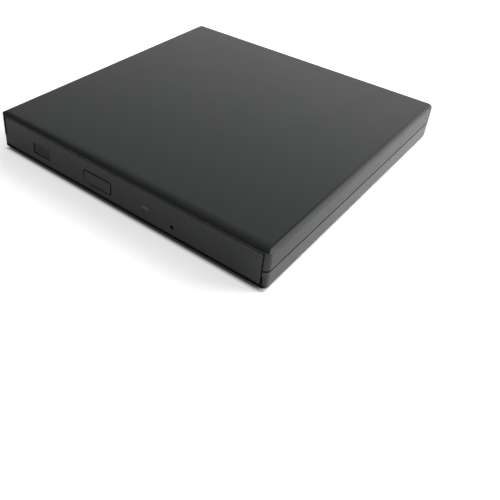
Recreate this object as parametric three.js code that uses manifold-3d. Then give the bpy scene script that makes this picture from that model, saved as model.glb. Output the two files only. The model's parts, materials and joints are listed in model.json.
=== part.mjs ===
// A slim external disc drive with a sliding tray, as it comes apart on a bench.
// Millimetres. X points right seen from the front, Y to the back and Z up, and the feet stand on Z = 0.
import * as THREE from 'three';
import { mergeVertices } from 'three/addons/utils/BufferGeometryUtils.js';
import Module from 'manifold-3d';

const wasm = await Module();
wasm.setup();

// Clearances that several pieces share
const overrun = 4;
const seatGap = 0.2;
const sheetGap = 0.1;
const runGap = 0.3;
const glideGap = 0.25;

// Disc and the room that the tray keeps around it
const discRadius = 60;
const recessGap = 0.7;
const recessDepth = 2.4;
const trayLip = 0.7;
const trayRearLip = 2.6;
const trayRearGap = 2;
const trayTopGap = 0.8;
const travelPast = 2;
const rimGap = 1.1;

// Casing
const sideRoom = 6;
const footProud = 1.7;
const sideWall = 1.9;
const rearWall = 1.9;
const roofThick = 1.6;
const floorThick = 1.5;
const cornerRadius = 2.3;
const edgeRadius = 0.8;
const topEdgeRadius = 2.1;
const frontRollDepth = 4.2;
const frontRollDrop = 1.45;
const partingShare = 0.472;
const seamGap = 0.4;
const lapThick = 0.8;
const lapDrop = 1.2;
const lapSetback = 2;
const sillStep = 0.8;
const sillStepDepth = 0.9;
const panelFootGap = 13;
const panelFrontMargin = 12.8;
const panelRearMargin = 16.7;
const panelSink = 0.3;
const panelCorner = 2.5;

// Feet and the screws under them
const footInset = 15;
const footFrontInset = 14.5;
const footRadius = 3.2;
const footChamfer = 0.5;
const footDimpleRadius = 2.1;
const footDimple = 0.2;
const footHollowRadius = 2.3;
const footHollow = 1.25;
const footRingRadius = 5;
const footRingProud = 0.4;
const footPocketRadius = 3.5;
const footPocket = 0.45;
const screwHeadRadius = 1.9;
const screwHeadHeight = 1;
const screwRadius = 0.95;
const screwPast = 0.5;
const screwHoleRadius = 1.15;
const driverSlotShare = 0.7;
const driverSlot = 0.4;
const driverDepth = 0.45;

// Blank label on the rear wall
const labelWidth = 12.4;
const labelHeight = 7.8;
const labelThick = 0.15;
const labelSide = 0.5;
const labelDrop = 2.6;

// Sheet steel chassis
const sheetThick = 0.5;
const chassisSideGap = 0.5;
const chassisRearGap = 1.6;
const chassisSetback = 0.4;
const notchGap = 0.6;
const lidRibDepth = 0.15;
const lidRibWidth = 3;

// Rails
const railRearGap = 1.6;
const guideBase = 0.6;
const guideLip = 0.6;
const guideLipReach = 1.2;
const railBase = 0.5;
const railLip = 0.5;
const railLipReach = 1.15;
const ribHeight = 1.5;

// Tray
const plateThick = 1;
const trayLift = 1.1;
const trayCorner = 1.5;
const sideBeam = 2.2;
const frontBeam = 3.2;
const rearBeam = 2;
const rearBeamDrop = 2;
const basePlateThick = 0.4;
const basePlateGap = 2;

// Front bezel, its button and its openings
const bezelInset = 0.3;
const bezelDepth = 3.8;
const bezelFace = 1.8;
const bezelSkirt = 1.2;
const bezelSideGap = 0.6;
const bezelTopGap = 0.6;
const bezelCorner = 0.6;
const blankInset = 17.5;
const blankWidth = 9.6;
const blankHeight = 5.2;
const blankSink = 0.3;
const buttonAcrossShare = -0.162;
const buttonRiseShare = 0.42;
const buttonWidth = 14;
const buttonHeight = 5.1;
const buttonCorner = 0.9;
const buttonGap = 0.4;
const buttonProud = 0.15;
const buttonFlange = 0.6;
const buttonFlangeReach = 0.8;
const buttonStemRadius = 1.1;
const buttonTravel = 0.8;
const switchWidth = 4.6;
const switchHeight = 3.4;
const switchDepth = 2.1;
const windowAcrossShare = 0.217;
const windowRiseShare = 0.43;
const windowWidth = 3.4;
const windowHeight = 1.4;
const windowEndShare = 0.98;
const releaseAcrossShare = 0.41;
const releaseRiseShare = 0.305;
const releaseRadius = 0.85;

// Traverse: the turned frame that carries the spindle motor and the pickup sled
const traverseAngle = 225;
const traverseShare = 0.2817;
const traverseCornerGap = 0.5;
const traverseNearRoom = 2.1;
const traverseWall = 1.2;
const traverseFloor = 0.8;
const screwBayNearRoom = 8;
const screwBayFarRoom = 7.4;
const screwBayWidth = 6.6;
const coverThick = 0.4;
const coverSetback = 0.6;
const coverBorder = 5.5;
const hubHoleGap = 0.8;
const rodRadius = 1;
const rodInset = 3.5;
const leadScrewRadius = 1.2;
const leadScrewOut = 2.3;
const sledMotorLength = 21.3;
const sledMotorGap = 0.25;

// Spindle
const turntableInset = 2.4;
const turntableThick = 1.15;
const rotorInset = 3.5;
const rotorNeck = 2;
const rotorTopGap = 0.8;
const rotorCap = 1;
const motorBaseInset = 0.5;
const motorBaseThick = 0.8;
const motorBossRadius = 2.2;
const ringBorder = 0.6;
const ringWidth = 2.9;
const ringSink = 0.3;
const ringProud = 0.25;
const hubRadius = 7.3;
const hubShoulder = 1.9;
const hubDome = 0.6;
const hubDomeInset = 1.8;
const clawSlotWidth = 2.8;
const clawSlotHeight = 1.1;
const clawSlotRise = 0.55;
const clawSlotInner = 4.2;
const clawInnerGap = 0.7;
const clawWidth = 2.2;
const clawHeight = 0.7;
const clawReach = 0.5;
const clawCount = 3;

// Pickup sled and lens
const lensInner = 23;
const sledFront = 5;
const sledNearGap = 0.5;
const sledSideGap = 0.4;
const sledForkGap = 0.8;
const sledSole = 0.4;
const sledTopGap = 0.5;
const forkPlate = 0.7;
const armHalf = 2.5;
const armBar = 2.3;
const armDrop = 2.8;
const holderHalfLength = 2.5;
const holderHalfWidth = 4;
const holderHeight = 2.4;
const holderRise = 0.6;
const holderSideGap = 0.6;
const holderDepthGap = 0.9;
const lensRadius = 2;
const lensRim = 0.6;
const lensDome = 0.5;
const lensFlatShare = 0.7;
const lensShoulderShare = 0.6;
const lensAperture = 1.5;

// Rubber dampers between the tray and the traverse, and the ears that they sit in
const damperRadius = 2.9;
const damperWaist = 1.8;
const damperBore = 1.1;
const damperGroove = 1.6;
const earOut = 4;
const earNearOut = 3.5;
const earThick = 1;
const earRadius = 3.6;
const studRadius = 0.8;

// Latch, solenoid and the pin that the latch hooks
const latchFromBeam = 5;
const latchFromRelease = 7.2;
const latchPinAside = 4.5;
const latchPinBack = 7;
const latchPinRadius = 1;
const latchPinHeight = 3;
const pinChannel = 4;
const latchThick = 1.2;
const latchBossRadius = 2;
const latchBore = 0.9;
const latchArm = 1.8;
const latchHook = 1.8;
const latchHookOverlap = 0.6;
const latchHookGap = 0.4;
const latchTail = 1.6;
const latchTailPast = 1.5;
const pivotPinRadius = 0.6;
const solenoidFromPivot = 5;
const solenoidOffset = 5;
const solenoidLength = 10;
const solenoidWidth = 7;
const solenoidTopGap = 1.6;
const solenoidWall = 1.4;
const plungerRadius = 1.3;
const plungerLength = 10.3;

// Spring-loaded pusher
const pusherFromScrew = 4;
const pusherTubeLength = 25.2;
const pusherTubeRadius = 2.4;
const pusherTubeWall = 0.5;
const pusherRadius = 1.6;
const pusherLength = 19.1;
const pusherWall = 0.45;
const pusherNose = 1.4;
const springRadius = 0.9;
const springWire = 0.3;
const padThick = 1.9;
const padHalf = 3;

// Sockets and their board
const boardThick = 1;
const boardLift = 1.05;
const boardSideGap = 0.6;
const screwRoom = 4.5;
const bayMargin = 1.5;
const socketSpace = 1.4;
const jackSideGap = 2.7;
const standoffRadius = 1.6;
const propRadius = 1.2;
const usbWidth = 12;
const usbHeight = 10.9;
const usbLength = 16;
const usbSheet = 0.4;
const usbMouthWidth = 8.5;
const usbMouthHeight = 7.8;
const usbMouthChamfer = 1.6;
const usbTongueWidth = 5.6;
const usbTongueHeight = 3.2;
const usbTongueSetback = 1;
const usbBlock = 5.5;
const usbHoleGap = 0.35;
const jackWidth = 9;
const jackLength = 13.6;
const jackBore = 3.1;
const jackBoreDepth = 10;
const jackRoof = 0.15;
const jackPinRadius = 1;
const jackPinSetback = 1.2;
const jackHoleRadius = 3.6;

// Drive board, what it carries, and the tray's board
const driveBoardGap = 0.5;
const driveBoardLength = 56;
const driveBoardDepth = 12.5;
const connectorLength = 5.6;
const connectorWidth = 8;
const connectorHeight = 3;
const connectorFrontGap = 4;
const chipSize = 9;
const chipThick = 1;
const chipInset = 30;
const crystalLength = 5;
const crystalWidth = 3.6;
const crystalHeight = 1.1;
const crystalInset = 16;
const capacitorRadius = 1.6;
const capacitorHeight = 1.5;
const capacitorInset = 8;
const trayBoardSideGap = 1;
const trayBoardRearGap = 2.8;
const trayBoardFrontGap = 10.5;
const trayBoardInnerGap = 2.1;
const trayBoardTailGap = 3.4;
const trayBoardDrop = 0.6;

// Flat cable from the drive board to the tray's board
const cableWidth = 12;
const cableFromBoard = 15.5;
const cableSideRoom = 4;
const cableThick = 0.2;
const cableSlack = 10;
const cableRun = 0.4;
const cableEndGap = 2;
const cableFlat = 4.5;

// Facet counts
const arcSteps = 4;
const barSides = 16;
const wideSides = 32;
const recessSides = 96;

// The casing's size: as wide and deep as the tray needs, and as tall as the socket on its board
const recessRadius = discRadius + recessGap;
const caseWidth = 2 * (discRadius + sideRoom);
const trayDepth = trayLip + 2 * recessRadius + trayRearLip;
const behindTray = trayRearGap + sheetThick + chassisRearGap + rearWall;
const caseDepth = bezelInset + bezelDepth + seatGap + trayDepth + behindTray;
const caseHeight = floorThick + boardLift + boardThick + sheetGap + usbHeight + glideGap + roofThick;

// Levels, from the ground up
const underZ = footProud;
const topZ = underZ + caseHeight;
const floorZ = underZ + floorThick;
const roofZ = topZ - roofThick;
const partingZ = underZ + caseHeight * partingShare;
const panBottomZ = floorZ + seatGap;
const panFloorZ = panBottomZ + sheetThick;
const lidTopZ = roofZ - seatGap;
const lidBottomZ = lidTopZ - sheetThick;
const panTopZ = lidBottomZ - sheetGap;
const rimTopZ = lidBottomZ - rimGap;
const plateTopZ = rimTopZ - recessDepth;
const plateBottomZ = plateTopZ - plateThick;
const trayBottomZ = panFloorZ + trayLift;
const basePlateTopZ = trayBottomZ + basePlateThick;
const railZ = (trayBottomZ + plateBottomZ) / 2;
const traverseBottomZ = basePlateTopZ + runGap;
const traverseTopZ = plateBottomZ - runGap;
const traverseZ = (traverseBottomZ + traverseTopZ) / 2;
const latchBottomZ = basePlateTopZ + runGap;
const buttonZ = underZ + caseHeight * buttonRiseShare;
const windowZ = underZ + caseHeight * windowRiseShare;
const releaseZ = underZ + caseHeight * releaseRiseShare;
const boardBottomZ = floorZ + boardLift;
const boardTopZ = boardBottomZ + boardThick;
const usbBottomZ = boardTopZ + sheetGap;
const usbTopZ = usbBottomZ + usbHeight;
const usbZ = (usbBottomZ + usbTopZ) / 2;
const jackZ = usbTopZ - jackRoof - jackBore;
const pusherZ = panFloorZ + sheetGap + pusherTubeRadius;
const screwReach = panFloorZ + screwPast;
const boardScrewReach = boardTopZ + screwPast;

// Places across and along the drive
const rightX = caseWidth / 2;
const frontY = -caseDepth / 2;
const rearY = caseDepth / 2;
const wallX = rightX - sideWall;
const wallY = rearY - rearWall;
const bezelFrontY = frontY + bezelInset;
const bezelBackY = bezelFrontY + bezelDepth;
const trayFrontY = bezelBackY + seatGap;
const trayRearY = trayFrontY + trayDepth;
const discY = trayFrontY + trayLip + recessRadius;
const frontBeamBackY = trayFrontY + frontBeam;
const switchFrontY = frontBeamBackY - switchDepth - runGap;
const chassisX = wallX - chassisSideGap;
const panInnerX = chassisX - sheetThick;
const chassisFrontY = bezelBackY + chassisSetback;
const chassisRearY = wallY - chassisRearGap;
const panInnerY = chassisRearY - sheetThick;
const jackX = wallX - jackSideGap - jackWidth / 2;
const usbX = jackX - jackWidth / 2 - socketSpace - usbWidth / 2;
const usbMouthY = rearY - seatGap;
const usbBackY = usbMouthY - usbLength;
const notchX = usbX - usbWidth / 2 - bayMargin;
const notchY = usbBackY - screwRoom;
const trayX = panInnerX - trayTopGap;
const guideOuterX = panInnerX - sheetGap;
const guideInnerX = guideOuterX - guideBase;
const railOuterX = guideInnerX - glideGap;
const railInnerX = railOuterX - railBase;
const ribOuterX = railInnerX - runGap;
const beamX = railInnerX - railLipReach - runGap;
const railFrontY = chassisFrontY + seatGap;
const railRearY = notchY - railRearGap;
const footX = rightX - footInset;
const footFrontY = frontY + footFrontInset;
const footRearY = notchY + standoffRadius + sheetGap;
const buttonX = wallX * buttonAcrossShare;
const windowX = wallX * windowAcrossShare;
const releaseX = wallX * releaseAcrossShare;
const pusherX = pusherFromScrew - footX;

// The traverse's own places, along it from the spindle and across it
const traverseHalf = discRadius * traverseShare;
const traverseNear = -traverseHalf - traverseNearRoom;
const traverseReach = Math.min(discY - frontBeamBackY, beamX - sideBeam) - traverseCornerGap;
const traverseFar = traverseReach * Math.SQRT2 - traverseHalf;
const traverseCorner = (traverseHalf - traverseNear) / Math.SQRT2;
const screwBayNear = traverseNear + screwBayNearRoom;
const screwBayFar = traverseFar - screwBayFarRoom;
const rodSpread = traverseHalf - rodInset;
const leadScrewSide = traverseHalf + leadScrewOut;
const sledMotorRadius = (traverseTopZ - traverseBottomZ) / 2 - sledMotorGap;
const turntableRadius = traverseHalf - turntableInset;
const rotorRadius = turntableRadius - rotorInset;
const motorBaseRadius = rotorRadius - motorBaseInset;
const ringOuter = turntableRadius - ringBorder;
const ringInner = ringOuter - ringWidth;
const slotHalf = traverseHalf - coverBorder;
const sledNear = turntableRadius + sledNearGap;
const sledForkSide = rodSpread - rodRadius - sledForkGap;
const damperPlaces = [
  [traverseNear - earNearOut, 0],
  [traverseFar / 2 - earOut / 2, traverseHalf + earOut],
  [traverseFar / 2 - earOut * 2, -traverseHalf - screwBayWidth - earOut],
];

// Places of the latch, the boards and the flat cable
const latchPivotX = releaseX + latchFromRelease;
const latchPivotY = frontBeamBackY + latchFromBeam;
const latchPinX = latchPivotX - latchPinAside;
const latchPinY = latchPivotY + latchPinBack;
const solenoidY = latchPivotY + solenoidFromPivot;
const driveBoardRight = notchX - sheetThick - 2 * driveBoardGap;
const driveBoardLeft = driveBoardRight - driveBoardLength;
const driveBoardRear = panInnerY - driveBoardGap;
const driveBoardFront = driveBoardRear - driveBoardDepth;
const trayBoardLeft = traverseCorner + trayBoardInnerGap;
const trayBoardRight = beamX - sideBeam - trayBoardSideGap;
const trayBoardFront = solenoidY + solenoidWidth / 2 + trayBoardFrontGap;
const trayBoardRear = notchY - trayBoardRearGap;
const trayBoardTailFront = discY + traverseCorner + trayBoardTailGap;
const trayBoardTopZ = plateBottomZ - trayBoardDrop;
const trayBoardBottomZ = trayBoardTopZ - boardThick;
const cableX = trayBoardLeft - cableFromBoard;
const cableLowZ = panFloorZ + sheetGap + cableThick / 2;
const cableHighZ = cableLowZ + cableRun + cableThick;
const cableEndZ = trayBoardBottomZ - sheetGap - cableThick / 2;
const trayTravel = 2 * discRadius + travelPast;
const cableStartY = driveBoardFront - runGap;
const cableEndY = trayBoardRear - cableEndGap;
const cableFoldY = cableEndY - (trayTravel + cableSlack) / 2;
const cableRiseY = cableEndY - cableFlat - (cableEndZ - cableHighZ);
const basePlateRear = cableRiseY - basePlateGap;
const trayBoardTailLeft = cableX - cableWidth / 2 - cableSideRoom;

// Casing finishes and the rest of the palette
const plastic = () => new THREE.MeshStandardMaterial({ color: 0x474a49, roughness: 0.55, metalness: 0 });
const bezelPlastic = () => new THREE.MeshStandardMaterial({ color: 0x383a38, roughness: 0.5, metalness: 0 });
const trayPlastic = () => new THREE.MeshStandardMaterial({ color: 0x26282a, roughness: 0.6, metalness: 0 });
const rubber = () => new THREE.MeshStandardMaterial({ color: 0x161716, roughness: 0.85, metalness: 0 });
const steel = () => new THREE.MeshStandardMaterial({ color: 0xb4b8bc, roughness: 0.35, metalness: 1 });
const darkSteel = () => new THREE.MeshStandardMaterial({ color: 0x55585c, roughness: 0.4, metalness: 1 });
const paper = () => new THREE.MeshStandardMaterial({ color: 0xc8d7e1, roughness: 0.5, metalness: 0 });
const board = () => new THREE.MeshStandardMaterial({ color: 0x1f5a3a, roughness: 0.5, metalness: 0 });
const blackResin = () => new THREE.MeshStandardMaterial({ color: 0x1a1a1c, roughness: 0.45, metalness: 0 });
const whiteResin = () => new THREE.MeshStandardMaterial({ color: 0xdcdcd4, roughness: 0.5, metalness: 0 });
const clearPlastic = () => new THREE.MeshStandardMaterial({ color: 0x8a9088, roughness: 0.2, metalness: 0 });
const copper = () => new THREE.MeshStandardMaterial({ color: 0xa6603a, roughness: 0.4, metalness: 1 });
const cableFilm = () => new THREE.MeshStandardMaterial({ color: 0xd8d4c4, roughness: 0.5, metalness: 0 });

const drive = new THREE.Group();
const traverse = new THREE.Group();
traverse.position.set(0, discY, 0);
traverse.rotation.z = THREE.MathUtils.degToRad(traverseAngle);
drive.add(traverse);
traverse.updateMatrix();

// A closed shape as a solid, with its faces turned outwards and its empty faces left out.
function asSolid(shape) {
  if (!shape.isBufferGeometry) return shape;
  const bare = shape.clone();
  bare.deleteAttribute('normal');
  bare.deleteAttribute('uv');
  const merged = mergeVertices(bare);
  const spots = merged.attributes.position;
  const corners = merged.index.array;
  const [a, b, c] = [new THREE.Vector3(), new THREE.Vector3(), new THREE.Vector3()];
  const kept = [];
  let volume = 0;
  for (let i = 0; i < corners.length; i += 3) {
    const [p, q, r] = [corners[i], corners[i + 1], corners[i + 2]];
    if (p === q || q === r || r === p) continue;
    kept.push([p, q, r]);
    a.fromBufferAttribute(spots, p);
    b.fromBufferAttribute(spots, q);
    c.fromBufferAttribute(spots, r);
    volume += a.dot(b.cross(c));
  }
  const faces = volume < 0 ? kept.map(([p, q, r]) => [p, r, q]) : kept;
  const triVerts = Uint32Array.from(faces.flat());
  return new wasm.Manifold(new wasm.Mesh({ numProp: 3, vertProperties: spots.array, triVerts }));
}

function asGeometry(solid) {
  const mesh = solid.getMesh();
  const geometry = new THREE.BufferGeometry();
  geometry.setAttribute('position', new THREE.BufferAttribute(new Float32Array(mesh.vertProperties), 3));
  geometry.setIndex(new THREE.BufferAttribute(new Uint32Array(mesh.triVerts), 1));
  geometry.computeVertexNormals();
  return geometry;
}

const join = (first, ...others) => others.reduce((whole, other) => whole.add(asSolid(other)), asSolid(first));
const cut = (first, ...tools) => tools.reduce((whole, tool) => whole.subtract(asSolid(tool)), asSolid(first));
const common = (first, other) => asSolid(first).intersect(asSolid(other));

function piece(parent, name, shape, material) {
  const mesh = new THREE.Mesh(asGeometry(asSolid(shape)), material);
  mesh.name = name;
  parent.add(mesh);
  return mesh;
}

// A box between two planes on each axis.
function block(x0, x1, y0, y1, z0, z1) {
  const box = new THREE.BoxGeometry(x1 - x0, y1 - y0, z1 - z0);
  return box.translate((x0 + x1) / 2, (y0 + y1) / 2, (z0 + z1) / 2);
}

// A round bar between two places on one axis, at a and b on the other two.
function bar(axis, radius, from, to, a, b, sides = barSides) {
  const cylinder = new THREE.CylinderGeometry(radius, radius, to - from, sides);
  const middle = (from + to) / 2;
  if (axis === 'x') return cylinder.rotateZ(-Math.PI / 2).translate(middle, a, b);
  if (axis === 'y') return cylinder.translate(a, middle, b);
  return cylinder.rotateX(Math.PI / 2).translate(a, b, middle);
}

// A body turned on an upright axis from a closed list of radius and height.
function turned(profile, x = 0, y = 0, sides = wideSides) {
  const points = profile.map(([radius, height]) => new THREE.Vector2(radius, height));
  return new THREE.LatheGeometry([...points, points[0]], sides).rotateX(Math.PI / 2).translate(x, y, 0);
}

const outline = (points) => new THREE.Shape(points.map(([x, y]) => new THREE.Vector2(x, y)));

function roundedRectangle(x0, x1, y0, y1, radius) {
  const shape = new THREE.Shape();
  shape.absarc(x1 - radius, y1 - radius, radius, 0, Math.PI / 2);
  shape.absarc(x0 + radius, y1 - radius, radius, Math.PI / 2, Math.PI);
  shape.absarc(x0 + radius, y0 + radius, radius, Math.PI, Math.PI * 1.5);
  shape.absarc(x1 - radius, y0 + radius, radius, Math.PI * 1.5, Math.PI * 2);
  shape.closePath();
  return shape;
}

// Prisms of a plan outline, of a side outline in Y and Z, and of a front outline in X and Z.
const prism = (shape, depth) =>
  new THREE.ExtrudeGeometry(shape, { depth, bevelEnabled: false, curveSegments: arcSteps });
const upright = (shape, z0, z1) => prism(shape, z1 - z0).translate(0, 0, z0);
const sideways = (shape, x0, x1) =>
  prism(shape, x1 - x0).rotateX(Math.PI / 2).rotateZ(Math.PI / 2).translate(x0, 0, 0);
const lengthwise = (shape, y0, y1) => prism(shape, y1 - y0).rotateX(Math.PI / 2).translate(0, y1, 0);

const onTraverse = (geometry) => geometry.applyMatrix4(traverse.matrix);
const feetPlaces = [
  ['front_left', -footX, footFrontY],
  ['front_right', footX, footFrontY],
  ['rear_left', -footX, footRearY],
  ['rear_right', footX, footRearY],
];

// Casing

// A box with rounded upright corners and softer edges, up to the casing's top.
function softBox(edge, front, low) {
  const plan = roundedRectangle(
    -rightX + edge, rightX - edge, front + edge, rearY - edge, cornerRadius - edge);
  const box = new THREE.ExtrudeGeometry(plan, {
    depth: topZ - low - 2 * edge,
    bevelThickness: edge,
    bevelSize: edge,
    bevelSegments: arcSteps,
    curveSegments: arcSteps,
  });
  return box.translate(0, 0, low + edge);
}

function casingShell() {
  const whole = common(
    softBox(edgeRadius, frontY, underZ), softBox(topEdgeRadius, frontY - overrun, underZ - overrun));
  const roll = new THREE.Shape();
  roll.moveTo(frontY + frontRollDepth, topZ + overrun);
  roll.lineTo(frontY + frontRollDepth, topZ);
  roll.absellipse(
    frontY + frontRollDepth, topZ - frontRollDrop, frontRollDepth, frontRollDrop, Math.PI / 2, Math.PI,
    false, 0);
  roll.lineTo(frontY - overrun, topZ - frontRollDrop);
  roll.lineTo(frontY - overrun, topZ + overrun);
  roll.closePath();
  return cut(
    whole,
    sideways(roll, -rightX - overrun, rightX + overrun),
    block(-wallX, wallX, frontY - overrun, wallY, floorZ, roofZ),
  );
}

// The rear wall belongs to the top cover between the bottom cover's two rear posts.
function rearPanel(gap) {
  return block(-wallX - gap, wallX + gap, wallY - gap, rearY + overrun, underZ - overrun, roofZ + overrun);
}

const sideBoth = (make) => [-1, 1].map(make);

function topCover(shell) {
  const above = block(
    -rightX - overrun, rightX + overrun, frontY - overrun, rearY + overrun, partingZ + seamGap / 2,
    topZ + overrun);
  const tongues = sideBoth((side) => {
    const [x0, x1] = [side * wallX, side * (wallX + lapThick)].sort((p, q) => p - q);
    return block(x0, x1, frontY + lapSetback, wallY - lapSetback, partingZ - lapDrop, partingZ + lapDrop);
  });
  const label = block(
    -wallX + labelSide - sheetGap, -wallX + labelSide + labelWidth + sheetGap, rearY - labelThick,
    rearY + overrun,
    topZ - labelDrop - labelHeight - sheetGap, topZ - labelDrop + sheetGap);
  const usbHole = block(
    usbX - usbWidth / 2 - usbHoleGap, usbX + usbWidth / 2 + usbHoleGap, wallY - overrun, rearY + overrun,
    usbBottomZ - usbHoleGap, roofZ);
  const jackHole = bar('y', jackHoleRadius, wallY - overrun, rearY + overrun, jackX, jackZ, wideSides);
  return cut(
    join(common(shell, join(above, rearPanel(0))), ...tongues),
    label,
    usbHole,
    jackHole,
  );
}

function bottomCover(shell) {
  const below = block(
    -rightX - overrun, rightX + overrun, frontY - overrun, rearY + overrun, underZ - overrun,
    partingZ - seamGap / 2);
  const rebates = sideBoth((side) => {
    const reach = side * (wallX + lapThick + seatGap);
    const [x0, x1] = [side * (wallX - overrun), reach].sort((p, q) => p - q);
    return block(
      x0, x1, frontY + lapSetback - seatGap, wallY - lapSetback + seatGap, partingZ - lapDrop - seatGap,
      partingZ + overrun);
  });
  const rings = feetPlaces.map(([, x, y]) =>
    bar('z', footRingRadius, underZ - footRingProud, underZ + floorThick / 2, x, y, wideSides));
  const pockets = feetPlaces.map(([, x, y]) =>
    bar('z', footPocketRadius, underZ - overrun, underZ + footPocket, x, y, wideSides));
  const holes = feetPlaces.map(([, x, y]) =>
    bar('z', screwHoleRadius, underZ - overrun, floorZ + overrun, x, y));
  const panelHalf = footX - panelFootGap;
  const panel = roundedRectangle(
    -panelHalf, panelHalf, frontY + panelFrontMargin, rearY - panelRearMargin, panelCorner);
  const standoff = bar(
    'z', standoffRadius, floorZ - floorThick / 2, boardBottomZ - sheetGap, footX, footRearY);
  const props = [usbX - usbWidth / 3, jackX + jackWidth / 3].map((x) => bar(
    'z', propRadius, floorZ - floorThick / 2, boardBottomZ - sheetGap, x, wallY - 2 * propRadius));
  return cut(
    join(cut(common(shell, below), rearPanel(seatGap)), ...rings, standoff, ...props),
    ...rebates,
    ...pockets,
    ...holes,
    upright(panel, underZ - overrun, underZ + panelSink),
    block(
      -wallX - overrun, wallX + overrun, frontY - overrun, frontY + sillStepDepth, floorZ - sillStep,
      floorZ + overrun),
  );
}

function foot(x, y) {
  const top = underZ + footPocket - sheetGap;
  return turned([
    [0, footDimple],
    [footDimpleRadius - footDimple, footDimple],
    [footDimpleRadius, 0],
    [footRadius - footChamfer, 0],
    [footRadius, footChamfer],
    [footRadius, top],
    [footHollowRadius, top],
    [footHollowRadius, top - footHollow],
    [0, top - footHollow],
  ], x, y, wideSides);
}

function caseScrew(x, y, reach) {
  const headTop = underZ + footPocket - sheetGap;
  const screw = join(
    bar('z', screwHeadRadius, headTop - screwHeadHeight, headTop, x, y, wideSides / 2),
    bar('z', screwRadius, headTop - screwHeadHeight / 2, reach, x, y, barSides),
  );
  const [long, low] = [screwHeadRadius * driverSlotShare, headTop - screwHeadHeight - overrun];
  const slotTop = headTop - screwHeadHeight + driverDepth;
  return cut(
    screw,
    block(x - long, x + long, y - driverSlot / 2, y + driverSlot / 2, low, slotTop),
    block(x - driverSlot / 2, x + driverSlot / 2, y - long, y + long, low, slotTop),
  );
}

function buildCasing() {
  const shell = casingShell();
  piece(drive, 'top_cover', topCover(shell), plastic());
  piece(drive, 'bottom_cover', bottomCover(shell), plastic());
  for (const [place, x, y] of feetPlaces) {
    piece(drive, `foot_${place}`, foot(x, y), rubber());
    const holdsBoard = place === 'rear_right';
    const name = holdsBoard ? 'board_screw' : `case_screw_${place}`;
    piece(drive, name, caseScrew(x, y, holdsBoard ? boardScrewReach : screwReach), darkSteel());
  }
  const labelLeft = -wallX + labelSide;
  const labelTop = topZ - labelDrop;
  piece(drive, 'rear_label', block(
    labelLeft, labelLeft + labelWidth, rearY - labelThick, rearY, labelTop - labelHeight, labelTop), paper());
}

// Chassis

// The chassis outline, drawn in by a margin, with a corner left out for the sockets' board.
function chassisPlan(margin, front) {
  return outline([
    [-chassisX + margin, front],
    [chassisX - margin, front],
    [chassisX - margin, notchY - margin],
    [notchX - margin, notchY - margin],
    [notchX - margin, chassisRearY - margin],
    [-chassisX + margin, chassisRearY - margin],
  ]);
}

function buildChassis() {
  const connectorY = notchY + connectorFrontGap;
  const connectorTopZ = usbBottomZ + connectorHeight;
  const screwHoles = feetPlaces.filter(([place]) => place !== 'rear_right').map(([, x, y]) =>
    bar('z', screwHoleRadius, panBottomZ - overrun, panFloorZ + overrun, x, y));
  piece(drive, 'chassis_pan', cut(
    upright(chassisPlan(0, chassisFrontY), panBottomZ, panTopZ),
    upright(chassisPlan(sheetThick, chassisFrontY - overrun), panFloorZ, panTopZ + overrun),
    block(
      notchX - sheetThick - overrun, notchX + overrun, connectorY - runGap,
      connectorY + connectorWidth + runGap,
      boardTopZ, connectorTopZ + runGap),
    ...screwHoles,
  ), steel());
  const ribs = sideBoth((side) => block(
    side * discRadius / 2 - lidRibWidth / 2, side * discRadius / 2 + lidRibWidth / 2,
    discY - discRadius / 2, discY + discRadius / 2, lidTopZ - lidRibDepth, lidTopZ + overrun));
  piece(drive, 'chassis_lid', cut(
    upright(chassisPlan(0, chassisFrontY), lidBottomZ, lidTopZ),
    ...ribs,
  ), steel());
  piece(drive, 'latch_pin', bar(
    'z', latchPinRadius, panFloorZ + sheetGap, panFloorZ + sheetGap + latchPinHeight, latchPinX, latchPinY),
    steel());
}

// Rails: a channel on the chassis, a rail that slides in it, and the tray's rib in the rail

function channel(side, outer, inner, lipEnd, halfHeight, lip) {
  return outline([
    [side * outer, railZ - halfHeight],
    [side * outer, railZ + halfHeight],
    [side * lipEnd, railZ + halfHeight],
    [side * lipEnd, railZ + halfHeight - lip],
    [side * inner, railZ + halfHeight - lip],
    [side * inner, railZ - halfHeight + lip],
    [side * lipEnd, railZ - halfHeight + lip],
    [side * lipEnd, railZ - halfHeight],
  ]);
}

function buildRails() {
  const railHalf = ribHeight / 2 + runGap + railLip;
  const guideHalf = railHalf + glideGap + guideLip;
  for (const [place, side] of [['left', -1], ['right', 1]]) {
    const guide = channel(side, guideOuterX, guideInnerX, guideInnerX - guideLipReach, guideHalf, guideLip);
    const rail = channel(side, railOuterX, railInnerX, railInnerX - railLipReach, railHalf, railLip);
    piece(drive, `rail_guide_${place}`, lengthwise(guide, railFrontY, railRearY), blackResin());
    piece(drive, `rail_${place}`, lengthwise(rail, railFrontY, railRearY), steel());
  }
}

// Boards and sockets behind the rear wall

function usbMouth() {
  const [half, low, high] = [usbMouthWidth / 2, usbZ - usbMouthHeight / 2, usbZ + usbMouthHeight / 2];
  const c = usbMouthChamfer;
  return outline([
    [usbX - half, high],
    [usbX - half, low + c],
    [usbX - half + c, low],
    [usbX + half - c, low],
    [usbX + half, low + c],
    [usbX + half, high],
  ]);
}

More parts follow.
